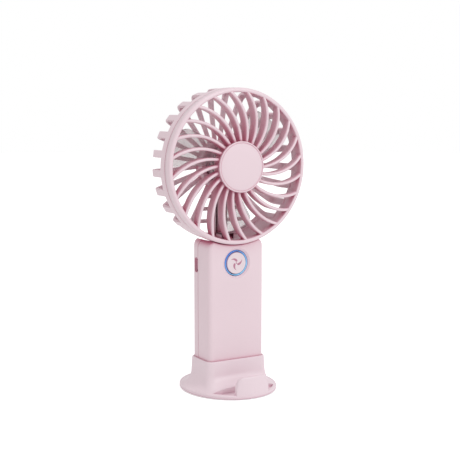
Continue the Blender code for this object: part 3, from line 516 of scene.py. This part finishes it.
REAR_BARS = 25
REAR_BAR_START = math.radians(270.7)
SKIRT_HALF_ANGLE = math.radians(44.0)
CAGE_EDGE = HEAD_RADIUS - 0.2 * MM
CAGE_CORNER = 5.0 * MM
CORNER_START = -7.6  # millimetres, measured forward from y = 0
PAST_SIDE = 8  # from this index on, the path has left the drum's side
BAR_INNER, BAR_OUTER = 15.5, 46.0  # a bar grows broader between these radii, in millimetres
BAR_THICK = 2.2 * MM
INWARD = Vector((-1.0, 0.35))  # roughly towards the cage's inside, in (radius, forward)

# The spine, its slats, the lead duct and the duct's elbow, in millimetres.
SPINE_HALF = 4.6
SLAT_DROPS = (20.5, 28.4, 36.3)  # below the axle
SLAT_HALF = 1.2
SLAT_FRONT, SLAT_BACK = 12.0, 13.7
DUCT_INNER, DUCT_OUTER = 3.0, 4.2
DUCT_FACE = 7.6
DUCT_TOP = HEAD_Z / MM - 14.0
ELBOW_FRONT = -0.3
ELBOW_LOW, ELBOW_HIGH = 96.6, 100.7

NECK_HALF = 8.7 * MM
NECK_FRONT, NECK_BACK = -5.0 * MM, 7.0 * MM
NECK_LOW, NECK_HIGH = 88.0 * MM, 96.8 * MM
LEAD_BORE = 2.4 * MM
LEAD_Y = 3.0 * MM

# The motor cup, in millimetres.
CUP_OUTER = 15.5
CUP_BORE = 12.4
CUP_FRONT = -6.0
CUP_FLOOR = -13.2


def cage_path():
    """(radius, forward) along a bar's outer face: back along the drum's side, round its corner, in."""
    side = (4.6, 2.0, -1.0, -4.0, CORNER_START)
    back = ((41.0, -13.0), (36.0, -13.35), (30.0, -13.65), (24.0, -13.9), (19.0, -14.0), (14.2, -14.1))
    path = [(CAGE_EDGE, forward * MM) for forward in side]
    for step in range(1, 9):
        turn = step * math.pi / 18
        inset = CAGE_CORNER * (1 - math.cos(turn))
        path.append((CAGE_EDGE - inset, CORNER_START * MM - CAGE_CORNER * math.sin(turn)))
    return path + millimetres(back)


def bar_half_width(radius):
    """A bar is broad as a tooth on the drum's side and narrows towards the motor cup."""
    outward = min(1.0, (radius / MM - BAR_INNER) / (BAR_OUTER - BAR_INNER))
    return (1.3 + 0.25 * outward + 0.75 * outward**3) * MM


def bar_along(shape, turn, path, half_width=None):
    """A round-edged bar that follows the (radius, forward) path at one angle."""
    rows = []
    for step, (radius, forward) in enumerate(path):
        before = path[max(0, step - 1)]
        after = path[min(len(path) - 1, step + 1)]
        along = Vector((after[0] - before[0], after[1] - before[1])).normalized()
        inside = Vector((along.y, -along.x))
        if inside.dot(INWARD) < 0:
            inside.negate()
        half = half_width or bar_half_width(radius)
        taper = 0.1 * MM
        corners = [(-half, 0.0), (half, 0.0), (half - taper, BAR_THICK), (-half + taper, BAR_THICK)]
        row = []
        for side, depth in softened(corners, 0.6 * MM, 4):
            r = radius + inside.x * depth
            f = forward + inside.y * depth
            x = r * math.cos(turn) - side * math.sin(turn)
            row.append(Vector((x, -f, HEAD_Z + r * math.sin(turn) + side * math.cos(turn))))
        rows.append(row)
    add_grid(shape, rows, ends=True)


def rear_bars(shape):
    """Radial bars all round, except where the spine and its slats stand above the handle.

    The bars are counted from the bottom. The two nearest the spine start part-way round the corner,
    because the skirt closes the drum's side there.
    """
    each_way = REAR_BARS // 2
    for index in range(-each_way, each_way + 1):
        if abs(index) < 2:
            continue
        turn = REAR_BAR_START + math.tau * index / REAR_BARS
        bar_along(shape, turn, cage_path()[PAST_SIDE if abs(index) == 2 else 0:])


def add_box(shape, low, high, soft):
    """A box in millimetres with its upright edges softened and its ends chamfered."""
    chamfer = 0.15
    corners = [(low[0], low[1]), (high[0], low[1]), (high[0], high[1]), (low[0], high[1])]
    outline = softened(corners, soft, 3)
    middle_x = (low[0] + high[0]) / 2
    middle_y = (low[1] + high[1]) / 2
    bottom, top = low[2], high[2]
    levels = ((chamfer, bottom), (0.0, bottom + chamfer), (0.0, top - chamfer), (chamfer, top))
    rows = []
    for inset, level in levels:
        share_x = 1 - inset / (high[0] - middle_x)
        share_y = 1 - inset / (high[1] - middle_y)
        row = []
        for x, y in outline:
            across = (middle_x + (x - middle_x) * share_x) * MM
            back = (middle_y + (y - middle_y) * share_y) * MM
            row.append(Vector((across, back, level * MM)))
        rows.append(row)
    add_grid(shape, rows, ends=True)


def spine(shape):
    """An upright bar with slats across it, and the duct that carries the motor leads in front of it."""
    bar_along(shape, STRAIGHT_DOWN, cage_path()[PAST_SIDE:], SPINE_HALF * MM)
    for index, drop in enumerate(SLAT_DROPS):
        reach = drop * math.tan(2 * math.tau / REAR_BARS)
        middle = HEAD_Z / MM - drop
        low = (-reach, SLAT_FRONT, middle - SLAT_HALF)
        high = (reach, SLAT_BACK - 0.15 * index, middle + SLAT_HALF)
        add_box(shape, low, high, 0.4)
    walls = [((-DUCT_OUTER, DUCT_FACE, 100.2), (DUCT_OUTER, 8.5, DUCT_TOP))]
    for left, right in ((-DUCT_OUTER, -DUCT_INNER), (DUCT_INNER, DUCT_OUTER)):
        walls.append(((left, DUCT_FACE, 98.4), (right, 12.2, DUCT_TOP)))
        walls.append(((left, ELBOW_FRONT, ELBOW_LOW), (right, 9.0, ELBOW_HIGH)))
    walls.append(((-DUCT_OUTER, ELBOW_FRONT, ELBOW_LOW), (DUCT_OUTER, 0.5, ELBOW_HIGH)))
    walls.append(((-DUCT_OUTER, ELBOW_FRONT, 99.9), (DUCT_OUTER, 8.5, ELBOW_HIGH)))
    for low, high in walls:
        add_box(shape, low, high, 0.2)


def neck_skirt(shape):
    """The closed stretch of the drum's side above the handle, a little inside the teeth's outer face."""
    inset = 0.45 * MM
    wall = 1.4 * MM
    side_radius = 46 * MM
    rounding = -9 * MM
    outer = []
    for radius, forward in cage_path():
        if radius > side_radius:
            outer.append((radius - inset, forward + (inset if forward < rounding else 0.0)))
    inner = [(r - wall, f + (wall / 2 if f < rounding else 0.0)) for r, f in outer]
    section = outer + list(reversed(inner))
    rows = []
    steps = 60
    for step in range(steps + 1):
        turn = STRAIGHT_DOWN + SKIRT_HALF_ANGLE * (2 * step / steps - 1)
        rows.append([Vector((r * math.cos(turn), -f, HEAD_Z + r * math.sin(turn))) for r, f in section])
    add_grid(shape, rows, ends=True)


def neck_outline(grow):
    """The neck block's section, grown outwards."""
    half = NECK_HALF + grow
    front = NECK_FRONT - grow
    back = NECK_BACK + grow
    return [(-half, front), (half, front), (half, back), (-half, back)]


def neck_block():
    """The block that the handle's shells clasp, bored for the motor leads."""
    neck = prism("neck_block", neck_outline(0.0), NECK_LOW, NECK_HIGH)
    turns = [math.tau * step / 32 for step in range(32)]
    circle = [(LEAD_BORE * math.cos(turn), LEAD_Y + LEAD_BORE * math.sin(turn)) for turn in turns]
    bore = prism("neck_bore", circle, NECK_LOW - 8.0 * MM, NECK_HIGH + 2.2 * MM)
    return combined(neck, [("DIFFERENCE", bore)])


def rear_cage():
    """The band, bars, spine, skirt, motor cup and neck block as one piece."""
    shape = bmesh.new()
    outer = HEAD_RADIUS / MM
    band = [
        (outer - 2.2, 8.35), (outer - 0.15, 8.35), (outer, 8.2), (outer, 3.1), (outer - 0.15, 2.6),
        (outer - 0.5, 2.45), (outer - 1.9, 2.45), (outer - 2.2, 2.7),
    ]
    turned(shape, millimetres(band), 192)
    rear_bars(shape)
    spine(shape)
    neck_skirt(shape)
    back = CAGE_BACK / MM
    cup = [
        (CUP_BORE, CUP_FRONT), (CUP_OUTER - 0.2, CUP_FRONT), (CUP_OUTER, CUP_FRONT - 0.2),
        (CUP_OUTER, -14.2), (CUP_OUTER - 0.2, -14.7), (CUP_OUTER - 0.6, -15.0), (CUP_OUTER - 1.1, -back),
        (12.2, -back), (11.9, -back + 0.35), (11.3, -back + 0.4), (11.0, -back + 0.05), (10.6, -back),
        (0.0, -back), (0.0, CUP_FLOOR), (CUP_BORE, CUP_FLOOR),
    ]
    turned(shape, millimetres(cup), 128)
    block = neck_block()
    spare = bpy.data.meshes.new("spare")
    block.to_mesh(spare)
    block.free()
    shape.from_mesh(spare)
    bpy.data.meshes.remove(spare)
    piece = piece_from("rear_cage_detail", shape, SHELL, "fan", 45.0)
    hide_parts("rear_cage")


# ---------------------------------------------------------------- impeller

BLADES = 3
BLADE_START = math.radians(8.0)
BLADE_LEAD = math.radians(14.0)
BLADE_SPAN = math.radians(52.0)
BLADE_ROOT, BLADE_REACH = 12.7, 29.9  # millimetres
BLADE_HALF = 0.6 * MM


def impeller():
    """The hub's cup with its shaft boss, and the blades."""
    shape = bmesh.new()
    hub = [
        (1.35, 7.4), (11.0, 7.6), (12.0, 7.4), (12.7, 6.9), (13.1, 6.1), (13.2, 5.2), (13.2, -0.1),
        (13.1, -0.2), (12.0, -0.2), (11.9, -0.1), (11.9, 5.4), (3.0, 5.4), (3.0, 1.7), (2.9, 1.6),
        (1.35, 1.6),
    ]
    turned(shape, millimetres(hub), 96)
    for index in range(BLADES):
        blade(shape, index)
    piece = piece_from("impeller_detail", shape, GREY, "rotor", 50.0)
    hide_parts("impeller")


def blade_edge(along, part, index):
    """A point on a blade's middle surface: along from the hub out, part from front edge to rear edge."""
    rounding = 4.0 * min(1.0, abs(2 * part - 1)) ** 5
    radius = (BLADE_ROOT + (BLADE_REACH - rounding) * along) * MM
    span = BLADE_SPAN * (1.0 - 0.27 * along)
    turn = BLADE_START + math.tau * index / BLADES + BLADE_LEAD * along + span * part
    forward = (-4.4 + (10.6 - 1.6 * along) * (1 - part) + 1.6 * part * (1 - part)) * MM
    return Vector((radius * math.cos(turn), -forward, HEAD_Z + radius * math.sin(turn)))


def blade(shape, index):
    """A pitched blade with round outer corners, thick in the middle and thin at its edges."""
    radial, chord = 14, 20
    near = 0.01
    front, back = [], []
    for row in range(radial + 1):
        along = row / radial
        fronts, backs = [], []
        for column in range(chord + 1):
            part = column / chord
            spot = blade_edge(along, part, index)
            ahead = blade_edge(along, part + near, index) - blade_edge(along, part - near, index)
            out = blade_edge(along + near, part, index) - blade_edge(along - near, part, index)
            facing = ahead.cross(out).normalized()
            edge = min(1.0, 4.5 * min(part, 1 - part) + 0.25, 5.0 * (1 - along) + 0.3)
            half = BLADE_HALF * edge
            fronts.append(spot + facing * half)
            backs.append(spot - facing * half)
        front.append(fronts)
        back.append(backs)
    rows = [fronts + list(reversed(backs)) for fronts, backs in zip(front, back)]
    add_grid(shape, rows, ends=True)


# ---------------------------------------------------------------- handle

FRONT_ROUND = 2.9 * MM
REAR_ROUND = 4.2 * MM
TOP_ROUND = 0.9 * MM
SHOULDER = 5.0 * MM
SHOULDER_END = math.radians(66.0)
HEAD_CLEARANCE = 0.4 * MM
WALL = 1.7 * MM
HOLLOW_LENGTH = 82.0 * MM
HOLLOW_MIDDLE = 46.8 * MM
SLOT_GAP = 0.3 * MM
SLOT_LOW, SLOT_HIGH = 86.7 * MM, 101.0 * MM
PORT_WIDTH, PORT_HEIGHT, PORT_CORNER = 9.6 * MM, 3.95 * MM, 1.7 * MM


def handle_outline(face_round):
    """Front view of the handle from the left foot round the head's arc to the right foot.

    Each entry is (x, z, inward normal x, inward normal z, roundover radius).
    """
    arc = HEAD_RADIUS + HEAD_CLEARANCE
    wall_top = HANDLE_HIGH.z - SHOULDER - 0.8 * MM
    left = []
    for step in range(13):
        z = HANDLE_LOW.z + (wall_top - HANDLE_LOW.z) * step / 12
        left.append((-HANDLE_HALF, z, 1.0, 0.0, face_round))
    centre_x = -HANDLE_HALF + SHOULDER
    centre_z = left[-1][1]
    for step in range(1, 13):
        turn = SHOULDER_END * step / 12
        x = centre_x - SHOULDER * math.cos(turn)
        z = centre_z + SHOULDER * math.sin(turn)
        rounding = face_round + (TOP_ROUND - face_round) * (step / 12) ** 1.5
        left.append((x, z, math.cos(turn), -math.sin(turn), rounding))
    limit = left[-1][0] + 0.7 * MM
    start = math.asin(limit / arc)
    top = []
    for step in range(41):
        turn = start * (1 - 2 * step / 40)
        top.append((arc * math.sin(turn), HEAD_Z - arc * math.cos(turn), 0.0, -1.0, TOP_ROUND))
    right = [(-x, z, -nx, nz, r) for x, z, nx, nz, r in reversed(left)]
    return left + top + right


def shell_block(name, face, seam, sign):
    """One half of the handle: its face at y = sign * face, round edges, straight walls to the seam."""
    outline = handle_outline(FRONT_ROUND if sign < 0 else REAR_ROUND)
    shape = bmesh.new()
    rows = []
    for step in range(10):
        turn = math.pi / 2 * step / 9
        row = []
        for x, z, nx, nz, radius in outline:
            inset = radius * (1 - math.sin(turn))
            y = sign * (face - radius * (1 - math.cos(turn)))
            row.append(Vector((x + nx * inset, y, z + nz * inset)))
        rows.append(row)
    chamfer, chamfer_depth = 0.12 * MM, 0.15 * MM
    rows.append([Vector((x, seam + sign * chamfer_depth, z)) for x, z, _, _, _ in outline])
    rows.append([Vector((x + nx * chamfer, seam, z + nz * chamfer)) for x, z, nx, nz, _ in outline])
    add_grid(shape, rows, ends=True)
    return tool_from(name, shape)


def hollow_tool(name, low_y, high_y):
    """The space inside the handle, between two depths."""
    outline = rounded_rectangle(2 * (HANDLE_HALF - WALL), HOLLOW_LENGTH, 2.0 * MM, 4)
    return prism(name, outline, low_y, high_y, lambda x, z, y: (x, y, z + HOLLOW_MIDDLE))


def neck_slot(name):
    """The opening that holds the neck block, with a gap all round it."""
    return prism(name, neck_outline(SLOT_GAP), SLOT_LOW, SLOT_HIGH)


def handle_front():
    """The front shell, dished round the light ring and open behind the button."""
    block = shell_block("front_block", HANDLE_FACE, HANDLE_HIGH.y, -1.0)
    face = HANDLE_FACE / MM
    light = LIGHT_OUTER / MM
    well = light + 0.25
    dish = [
        (0.0, face + 1.0), (light + 1.9, face + 1.0), (light + 1.75, face + 0.2),
        (light + 1.45, face - 0.12), (light + 1.1, face - 0.42), (light + 0.7, face - 0.66),
        (light + 0.4, face - 0.8), (well, face - 1.0), (well, face - 4.8), (0.0, face - 4.8),
    ]
    steps = [
        ("DIFFERENCE", hollow_tool("front_hollow", -10.0 * MM, 12.0 * MM)),
        ("DIFFERENCE", turned_tool("dish", millimetres(dish), BUTTON_Z)),
        ("DIFFERENCE", neck_slot("front_neck")),
    ]
    piece = piece_from("handle_front_detail", combined(block, steps), SHELL, "fan", 28.0)
    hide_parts("handle_front")


def handle_rear():
    """The rear shell with the charging port's mouth and the screw sinks."""
    block = shell_block("rear_block", REAR_HIGH.y, REAR_LOW.y, 1.0)
    mouth = rounded_rectangle(PORT_WIDTH, PORT_HEIGHT, PORT_CORNER, 8)
    port = prism("port", mouth, -21 * MM, -14 * MM, lambda z, y, x: (x, y + PORT_Y, z + PORT_Z))
    steps = [
        ("DIFFERENCE", hollow_tool("rear_hollow", -3.0 * MM, 10.0 * MM)),
        ("DIFFERENCE", port),
        ("DIFFERENCE", neck_slot("rear_neck")),
    ]
    back = REAR_HIGH.y / MM
    sink = [
        (0.0, -back - 1.0), (2.65, -back - 1.0), (2.4, -back + 0.25), (2.35, -back + 0.5),
        (2.35, -9.9), (1.2, -9.9), (1.2, -9.0), (0.0, -9.0),
    ]
    for index, node in enumerate(SCREWS, 1):
        low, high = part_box(node)
        tool = turned_tool(f"sink_{index}", millimetres(sink), (low.z + high.z) / 2, 32)
        tool.location.x = (low.x + high.x) / 2
        steps.append(("DIFFERENCE", tool))
    piece = piece_from("handle_rear_detail", combined(block, steps), SHELL, "fan", 28.0)
    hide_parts("handle_rear")


def port_tongue():
    """The charging socket's thin tongue with its contacts' end, inside the steel shell."""
    shape = bmesh.new()
    half, thin = 3.3, 0.35
    outline = softened([(-half, -thin), (half, -thin), (half, thin), (-half, thin)], 0.25, 3)
    rows = []
    for x, shrink in ((-19.0, 0.86), (-18.8, 0.97), (-18.5, 1.0), (-12.6, 1.0)):
        row = []
        for height, depth in outline:
            row.append(Vector((x * MM, PORT_Y + depth * shrink * MM, PORT_Z + height * shrink * MM)))
        rows.append(row)
    add_grid(shape, rows, ends=True)
    piece_from("usb_tongue", shape, PORT_ROSE, "fan")


def screw_heads():
    """Pan heads with a cross recess on the screws' shanks."""
    slot_turn = 0.35
    slot_reach = 1.15
    slot_depth = 0.8 * MM
    head = [
        (0.0, 0.0), (1.2, 0.0), (1.7, -0.18), (1.95, -0.5),
        (2.0, -0.9), (0.95, -0.95), (0.95, -6.0), (0.0, -6.6),
    ]
    for index, node in enumerate(SCREWS, 1):
        low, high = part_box(node)
        x = (low.x + high.x) / 2
        z = (low.z + high.z) / 2
        back = high.y
        profile = [(r * MM, -(back + f * MM)) for r, f in head]
        body = turned_tool(f"head_{index}", profile, z, 40)
        body.location.x = x
        steps = []
        for turn in (slot_turn, slot_turn + math.pi / 2):
            reach = Vector((math.cos(turn), math.sin(turn))) * slot_reach * MM
            side = Vector((-reach.y, reach.x)) * 0.22
            outline = [reach + side, -reach + side, -reach - side, reach - side]
            tool = prism(
                f"slot_{index}_{turn:.1f}",
                outline,
                back - slot_depth,
                back + 1 * MM,
                lambda a, b, y, x=x, z=z: (x + a, y, z + b),
            )
            steps.append(("DIFFERENCE", tool))
        piece = piece_from(f"screw_detail_{index}", combined(body, steps), STEEL, "fan", 30.0)
        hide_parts(node)


# ---------------------------------------------------------------- button and light ring


def light_ring():
    """The thin light guide round the button, set a little inside its CAD outline."""
    shape = bmesh.new()
    outer = LIGHT_OUTER / MM - 0.2
    inner = LIGHT_OUTER / MM - 0.55
    front = -RING_LOW.y / MM
    back = -RING_HIGH.y / MM
    ring = softened([(outer, front), (outer, back), (inner, back), (inner, front)], 0.1, 3)
    turned(shape, millimetres(ring), 128, centre=BUTTON_Z)
    piece = piece_from("light_ring_detail", shape, GLOW, "fan")
    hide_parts("light_ring")


def power_button():
    """The dished button with its stem."""
    shape = bmesh.new()
    r = BUTTON_RADIUS / MM
    f = -BUTTON_LOW.y / MM
    back = -BUTTON_HIGH.y / MM
    stem = 2.2
    cap = [
        (0.0, f - 0.22), (r * 0.45, f - 0.2), (r * 0.75, f - 0.12), (r - 0.75, f - 0.02), (r - 0.45, f),
        (r - 0.2, f - 0.12), (r - 0.04, f - 0.4), (r, f - 0.8), (r, f - 1.8), (r - 0.1, f - 1.9),
        (stem, f - 1.9), (stem, back), (0.0, back),
    ]
    turned(shape, millimetres(cap), 112, closed=False, centre=BUTTON_Z)
    piece = piece_from("power_button_detail", shape, BUTTON_PINK, "button", 60.0)
    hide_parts("power_button")
    vane_symbol(-BUTTON_LOW.y - 0.2 * MM)


def vane_symbol(front):
    """A plain three-vane fan symbol, a little proud of the button's dished face."""
    vanes = 3
    start = math.radians(90.0)
    sweep = math.radians(58.0)
    lean = 0.3
    section = ((-1.0, -0.12), (-0.75, 0.06), (0.0, 0.1), (0.75, 0.06), (1.0, -0.12))
    shape = bmesh.new()
    for index in range(vanes):
        rows = []
        for step in range(15):
            part = step / 14
            radius = (0.85 + 3.75 * part) * MM
            turn = start + math.tau * index / vanes + sweep * part**1.2
            half = 0.1 * MM
            if 0 < part < 1:
                half = (0.2 + 1.15 * math.sin(math.pi * part**0.8) ** 0.8) * MM
            spot = Vector((radius * math.cos(turn), radius * math.sin(turn)))
            across = Vector((-math.sin(turn - lean), math.cos(turn - lean)))
            row = []
            for side, rise in section:
                place = spot + across * half * side
                row.append(Vector((place.x, -(front + rise * MM), BUTTON_Z + place.y)))
            rows.append(row)
        add_grid(shape, rows, ends=True)
    sunk = front - 0.12 * MM
    dot = [(0.0, front + 0.1 * MM), (0.35 * MM, front + 0.08 * MM), (0.5 * MM, sunk), (0.0, sunk)]
    turned(shape, dot, 32, closed=False, centre=BUTTON_Z)
    piece_from("button_symbol", shape, SYMBOL, "button")


# ---------------------------------------------------------------- dock

COLLAR_WALL = 1.3 * MM
FIT = 0.3 * MM
FRONT_CORNER, REAR_CORNER = 3.2 * MM, 4.5 * MM
ROOT_FLARE = 0.5 * MM
FOOT_TOP, FLARE_HEIGHT = 3.0, 10.0  # millimetres
FLARE_TOP = FOOT_TOP + FLARE_HEIGHT
FOOT_FLOOR = 1.9 * MM
SOCKET_FLOOR = 3.2 * MM
LIP_HALF = 11.5 * MM
LIP_HIGH = 14.4 * MM
LIP_LOW = 1.2 * MM
LIP_CORNER = 5.0 * MM
LIP_SOFT = 1.0 * MM


def socket_outline(grow, corner_steps=14, side_steps=1):
    """The handle's section grown outwards, its front corners tighter than its rear ones."""
    sides = (2 * (HANDLE_HALF + grow), 2 * (HANDLE_FACE + grow))
    tight = rounded_rectangle(*sides, FRONT_CORNER + grow, corner_steps, side_steps)
    wide = rounded_rectangle(*sides, REAR_CORNER + grow, corner_steps, side_steps)
    return [front if front.y < 0 else rear for front, rear in zip(tight, wide)]


def dock_rings():
    """Rings from the foot's underside, round its edge, in along the flare, up the collar to its rim."""
    grow = FIT + COLLAR_WALL
    width = 2 * (HANDLE_HALF + grow)
    depth = 2 * (HANDLE_FACE + grow)
    top = socket_outline(grow, 14, 16)
    root = socket_outline(grow + ROOT_FLARE, 14, 16)
    edge = []
    for point in top:
        turn = math.atan2(point.y / depth, point.x / width)
        edge.append(Vector((FOOT_X * math.cos(turn), FOOT_Y * math.sin(turn))))
    foot = (
        (0.955, 0.5), (0.985, 0.52), (0.995, 0.75), (1.0, 1.1),
        (1.0, 2.2), (0.9975, 2.7), (0.99, 2.95),
    )
    rings = []
    for shrink, height in foot:
        rings.append([(point.x * shrink, point.y * shrink, height * MM) for point in edge])
    for step in range(29):
        turn = step * math.pi / 56
        height = (FOOT_TOP + FLARE_HEIGHT * (1 - math.cos(turn))) * MM
        shrink = 0.982 + 0.018 * min(1.0, step / 5)
        inward = math.sin(turn)
        rings.append([(*(outer.lerp(inner, inward) * shrink), height) for outer, inner in zip(edge, root)])
    for level in (15.0, 17.5, 20.0):
        part = (level - FLARE_TOP) / (COLLAR_TOP / MM - FLARE_TOP)
        rings.append([(*outer.lerp(inner, part), level * MM) for outer, inner in zip(root, top)])
    for inset, drop in ((0.02, 0.45), (0.08, 0.22), (0.22, 0.07), (0.45, 0.0)):
        share = inset * MM / (width / 2)
        rings.append([(p.x * (1 - share), p.y * (1 - share), COLLAR_TOP - drop * MM) for p in top])
    return rings


def dock_base():
    """The foot with its trough behind the lip, the collar's socket and the pad's recess."""
    shape = bmesh.new()
    add_grid(shape, [[Vector(point) for point in ring] for ring in dock_rings()], ends=True)
    base = tool_from("dock_block", shape)
    rim = 2.0 * MM
    far = 60 * MM
    hollow_back = -20 * MM
    space = prism("slot_space", ellipse(FOOT_X - rim, FOOT_Y - rim), FOOT_FLOOR, 40 * MM)
    corners = [(-far, -far), (far, -far), (far, hollow_back), (-far, hollow_back)]
    in_front = prism("slot_front", corners, -10 * MM, far)
    slot = combined(space, [("INTERSECT", in_front)])
    steps = [
        ("DIFFERENCE", tool_from("slot_tool", slot)),
        ("UNION", front_lip()),
        ("DIFFERENCE", prism("socket", socket_outline(FIT), SOCKET_FLOOR, 30 * MM)),
        ("DIFFERENCE", prism("recess", ellipse(27.3 * MM, 30.3 * MM), -1 * MM, 1.3 * MM)),
    ]
    piece = piece_from("dock_base_detail", combined(base, steps), DOCK_PINK, "dock", 32.0)
    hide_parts("dock_base")


def front_lip():
    """The upright lip, curved like the foot's edge, its upper corners round and its top edge soft."""
    stretch = 1.25  # a corner is taller than it is wide
    outer_inset, inner_inset = 0.12 * MM, 2.5 * MM
    shape = bmesh.new()
    rows = []
    count = 48
    for step in range(count + 1):
        x = -LIP_HALF + 2 * LIP_HALF * step / count
        edge = LIP_HALF - abs(x)
        drop = 0.0
        if edge < LIP_CORNER:
            fall = math.sqrt(max(0.0, LIP_CORNER**2 - (LIP_CORNER - edge) ** 2))
            drop = LIP_CORNER * stretch - stretch * fall
        shoulder = LIP_HIGH - drop - LIP_SOFT
        outer_y = -(FOOT_Y - outer_inset) * math.sqrt(1 - (x / (FOOT_X - outer_inset)) ** 2)
        inner_y = -(FOOT_Y - inner_inset) * math.sqrt(1 - (x / (FOOT_X - inner_inset)) ** 2)
        middle = (outer_y + inner_y) / 2
        thick = inner_y - outer_y
        section = [(outer_y, LIP_LOW), (outer_y, shoulder)]
        for part in range(1, 8):
            turn = math.pi * part / 8
            section.append((middle - thick / 2 * math.cos(turn), shoulder + LIP_SOFT * math.sin(turn)))
        section += [(inner_y, shoulder), (inner_y, LIP_LOW)]
        rows.append([Vector((x, y, max(LIP_LOW, z))) for y, z in section])
    add_grid(shape, rows, ends=True)
    return tool_from("lip", shape)


def dock_pad():
    """The oval ring of rubber that the dock stands on."""
    shape = bmesh.new()
    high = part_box("dock_pad")[1]
    breadth, thick = 8.0, 1.0
    section = softened([(0.0, 0.0), (0.0, thick), (breadth, thick), (breadth, 0.0)], 0.25, 2)
    steps = 128
    rows = []
    for step in range(steps):
        turn = math.tau * step / steps
        row = []
        for inset, height in section:
            x = (high.x - inset * MM) * math.cos(turn)
            y = (high.y - inset * MM) * math.sin(turn)
            row.append(Vector((x, y, height * MM)))
        rows.append(row)
    add_grid(shape, rows, around=True)
    piece = piece_from("dock_pad_detail", shape, PAD, "dock")
    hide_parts("dock_pad")


# ---------------------------------------------------------------- inner pieces, stage, camera

WHITE = (1.0, 1.0, 1.0)
FLOOR_GLOW = 0.5  # seen by the camera only
SKY_LIGHT, SKY_SEEN = 0.775, 1.0  # how strongly the surround lights the object, and how bright it looks
LAMP_AIM = Vector((0.0, 0.0, 0.1))

# The camera, fitted to the photo. No turn would mean a square view of the fan's front.
VIEW_TURN = math.radians(30.15)
VIEW_PITCH = math.radians(7.15)
VIEW_DISTANCE = 667.8 * MM
VIEW_SIDE = 1.5 * MM
VIEW_HEIGHT = 186.7 * MM
PICTURE_PIXELS = 460.0
FOCAL_PIXELS = 1050.0
SENSOR = 36.0


def dress_inner_nodes():
    """Procedural materials on the CAD nodes that stay."""
    looks = {
        "motor_can": STEEL, "motor_magnet": FERRITE, "motor_endcap": IVORY, "motor_bush_front": BRASS,
        "motor_bush_rear": BRASS, "motor_terminal_red": BRASS, "motor_terminal_black": BRASS,
        "motor_shaft": STEEL, "armature": COPPER, "commutator": BRASS, "battery_cell": CELL,
        "battery_tab_negative": STEEL, "battery_tab_positive": STEEL, "battery_foam": FOAM,
        "control_board": BOARD, "usb_socket": PORT_ROSE, "charger_chip": BLACK, "driver_chip": BLACK,
        "inductor": FERRITE, "status_led_left": CLEAR, "status_led_right": CLEAR, "switch_body": BLACK,
        "switch_stem": BLACK, "motor_lead_red": RED, "motor_lead_black": BLACK, "battery_lead_red": RED,
        "battery_lead_black": BLACK,
    }
    for name, surface in looks.items():
        node = NODES[name]
        node.data.materials.clear()
        node.data.materials.append(surface)


def stage():
    """A plain pale floor."""
    shape = bmesh.new()
    bmesh.ops.create_circle(shape, cap_ends=True, segments=96, radius=3.0)
    mesh = bpy.data.meshes.new("floor")
    shape.to_mesh(mesh)
    shape.free()
    floor = bpy.data.objects.new("floor", mesh)
    bpy.context.scene.collection.objects.link(floor)
    surface, tree, shader = new_material("pale_floor", (0.93, 0.93, 0.93), 0.9)
    shader.inputs["Emission Color"].default_value = (*WHITE, 1.0)
    seen = tree.nodes.new("ShaderNodeLightPath")
    level = tree.nodes.new("ShaderNodeMath")
    level.operation = "MULTIPLY"
    level.inputs[1].default_value = FLOOR_GLOW
    tree.links.new(seen.outputs["Is Camera Ray"], level.inputs[0])
    tree.links.new(level.outputs["Value"], shader.inputs["Emission Strength"])
    shader.inputs["Specular IOR Level"].default_value = 0.1
    mesh.materials.append(surface)


def surround():
    """A white world and two soft lamps."""
    world = bpy.data.worlds.new("surround")
    bpy.context.scene.world = world
    world.use_nodes = True
    tree = world.node_tree
    background = tree.nodes["Background"]
    background.inputs["Color"].default_value = (*WHITE, 1.0)
    path = tree.nodes.new("ShaderNodeLightPath")
    strength = tree.nodes.new("ShaderNodeMapRange")
    strength.inputs["To Min"].default_value = SKY_LIGHT
    strength.inputs["To Max"].default_value = SKY_SEEN
    tree.links.new(path.outputs["Is Camera Ray"], strength.inputs["Value"])
    tree.links.new(strength.outputs["Result"], background.inputs["Strength"])
    lamp("key", (0.45, -1.0, 0.75), 0.5, 3.5, (0.92, 1.0, 0.99))
    lamp("top", (-0.1, -0.3, 1.2), 0.8, 1.8, WHITE)
    bpy.context.scene.view_settings.view_transform = "Standard"


def lamp(name, place, size, power, colour):
    """A round area lamp, aimed at the middle of the object."""
    light = bpy.data.lights.new(name, "AREA")
    light.shape = "DISK"
    light.size = size
    light.energy = power
    light.color = colour
    holder = bpy.data.objects.new(name, light)
    holder.location = place
    aim = LAMP_AIM - Vector(place)
    holder.rotation_euler = aim.to_track_quat("-Z", "Y").to_euler()
    bpy.context.scene.collection.objects.link(holder)


def camera():
    """The fitted view, looking a little down at the fan from its front left."""
    right = Vector((math.cos(VIEW_TURN), -math.sin(VIEW_TURN), 0.0))
    ahead = Vector((math.sin(VIEW_TURN), math.cos(VIEW_TURN), 0.0))
    up = Vector((0.0, 0.0, 1.0))
    lens = bpy.data.cameras.new("camera")
    lens.sensor_width = SENSOR
    lens.lens = FOCAL_PIXELS / PICTURE_PIXELS * SENSOR
    lens.clip_start = 10 * MM
    holder = bpy.data.objects.new("camera", lens)
    holder.location = ahead * -VIEW_DISTANCE + right * VIEW_SIDE + up * VIEW_HEIGHT
    aim = ahead * math.cos(VIEW_PITCH) - up * math.sin(VIEW_PITCH)
    holder.rotation_euler = aim.to_track_quat("-Z", "Y").to_euler()
    bpy.context.scene.collection.objects.link(holder)
    bpy.context.scene.camera = holder


camera()
stage()
surround()
dress_inner_nodes()
front_grille()
grille_cap()
rear_cage()
impeller()
handle_front()
handle_rear()
port_tongue()
screw_heads()
light_ring()
power_button()
dock_base()
dock_pad()
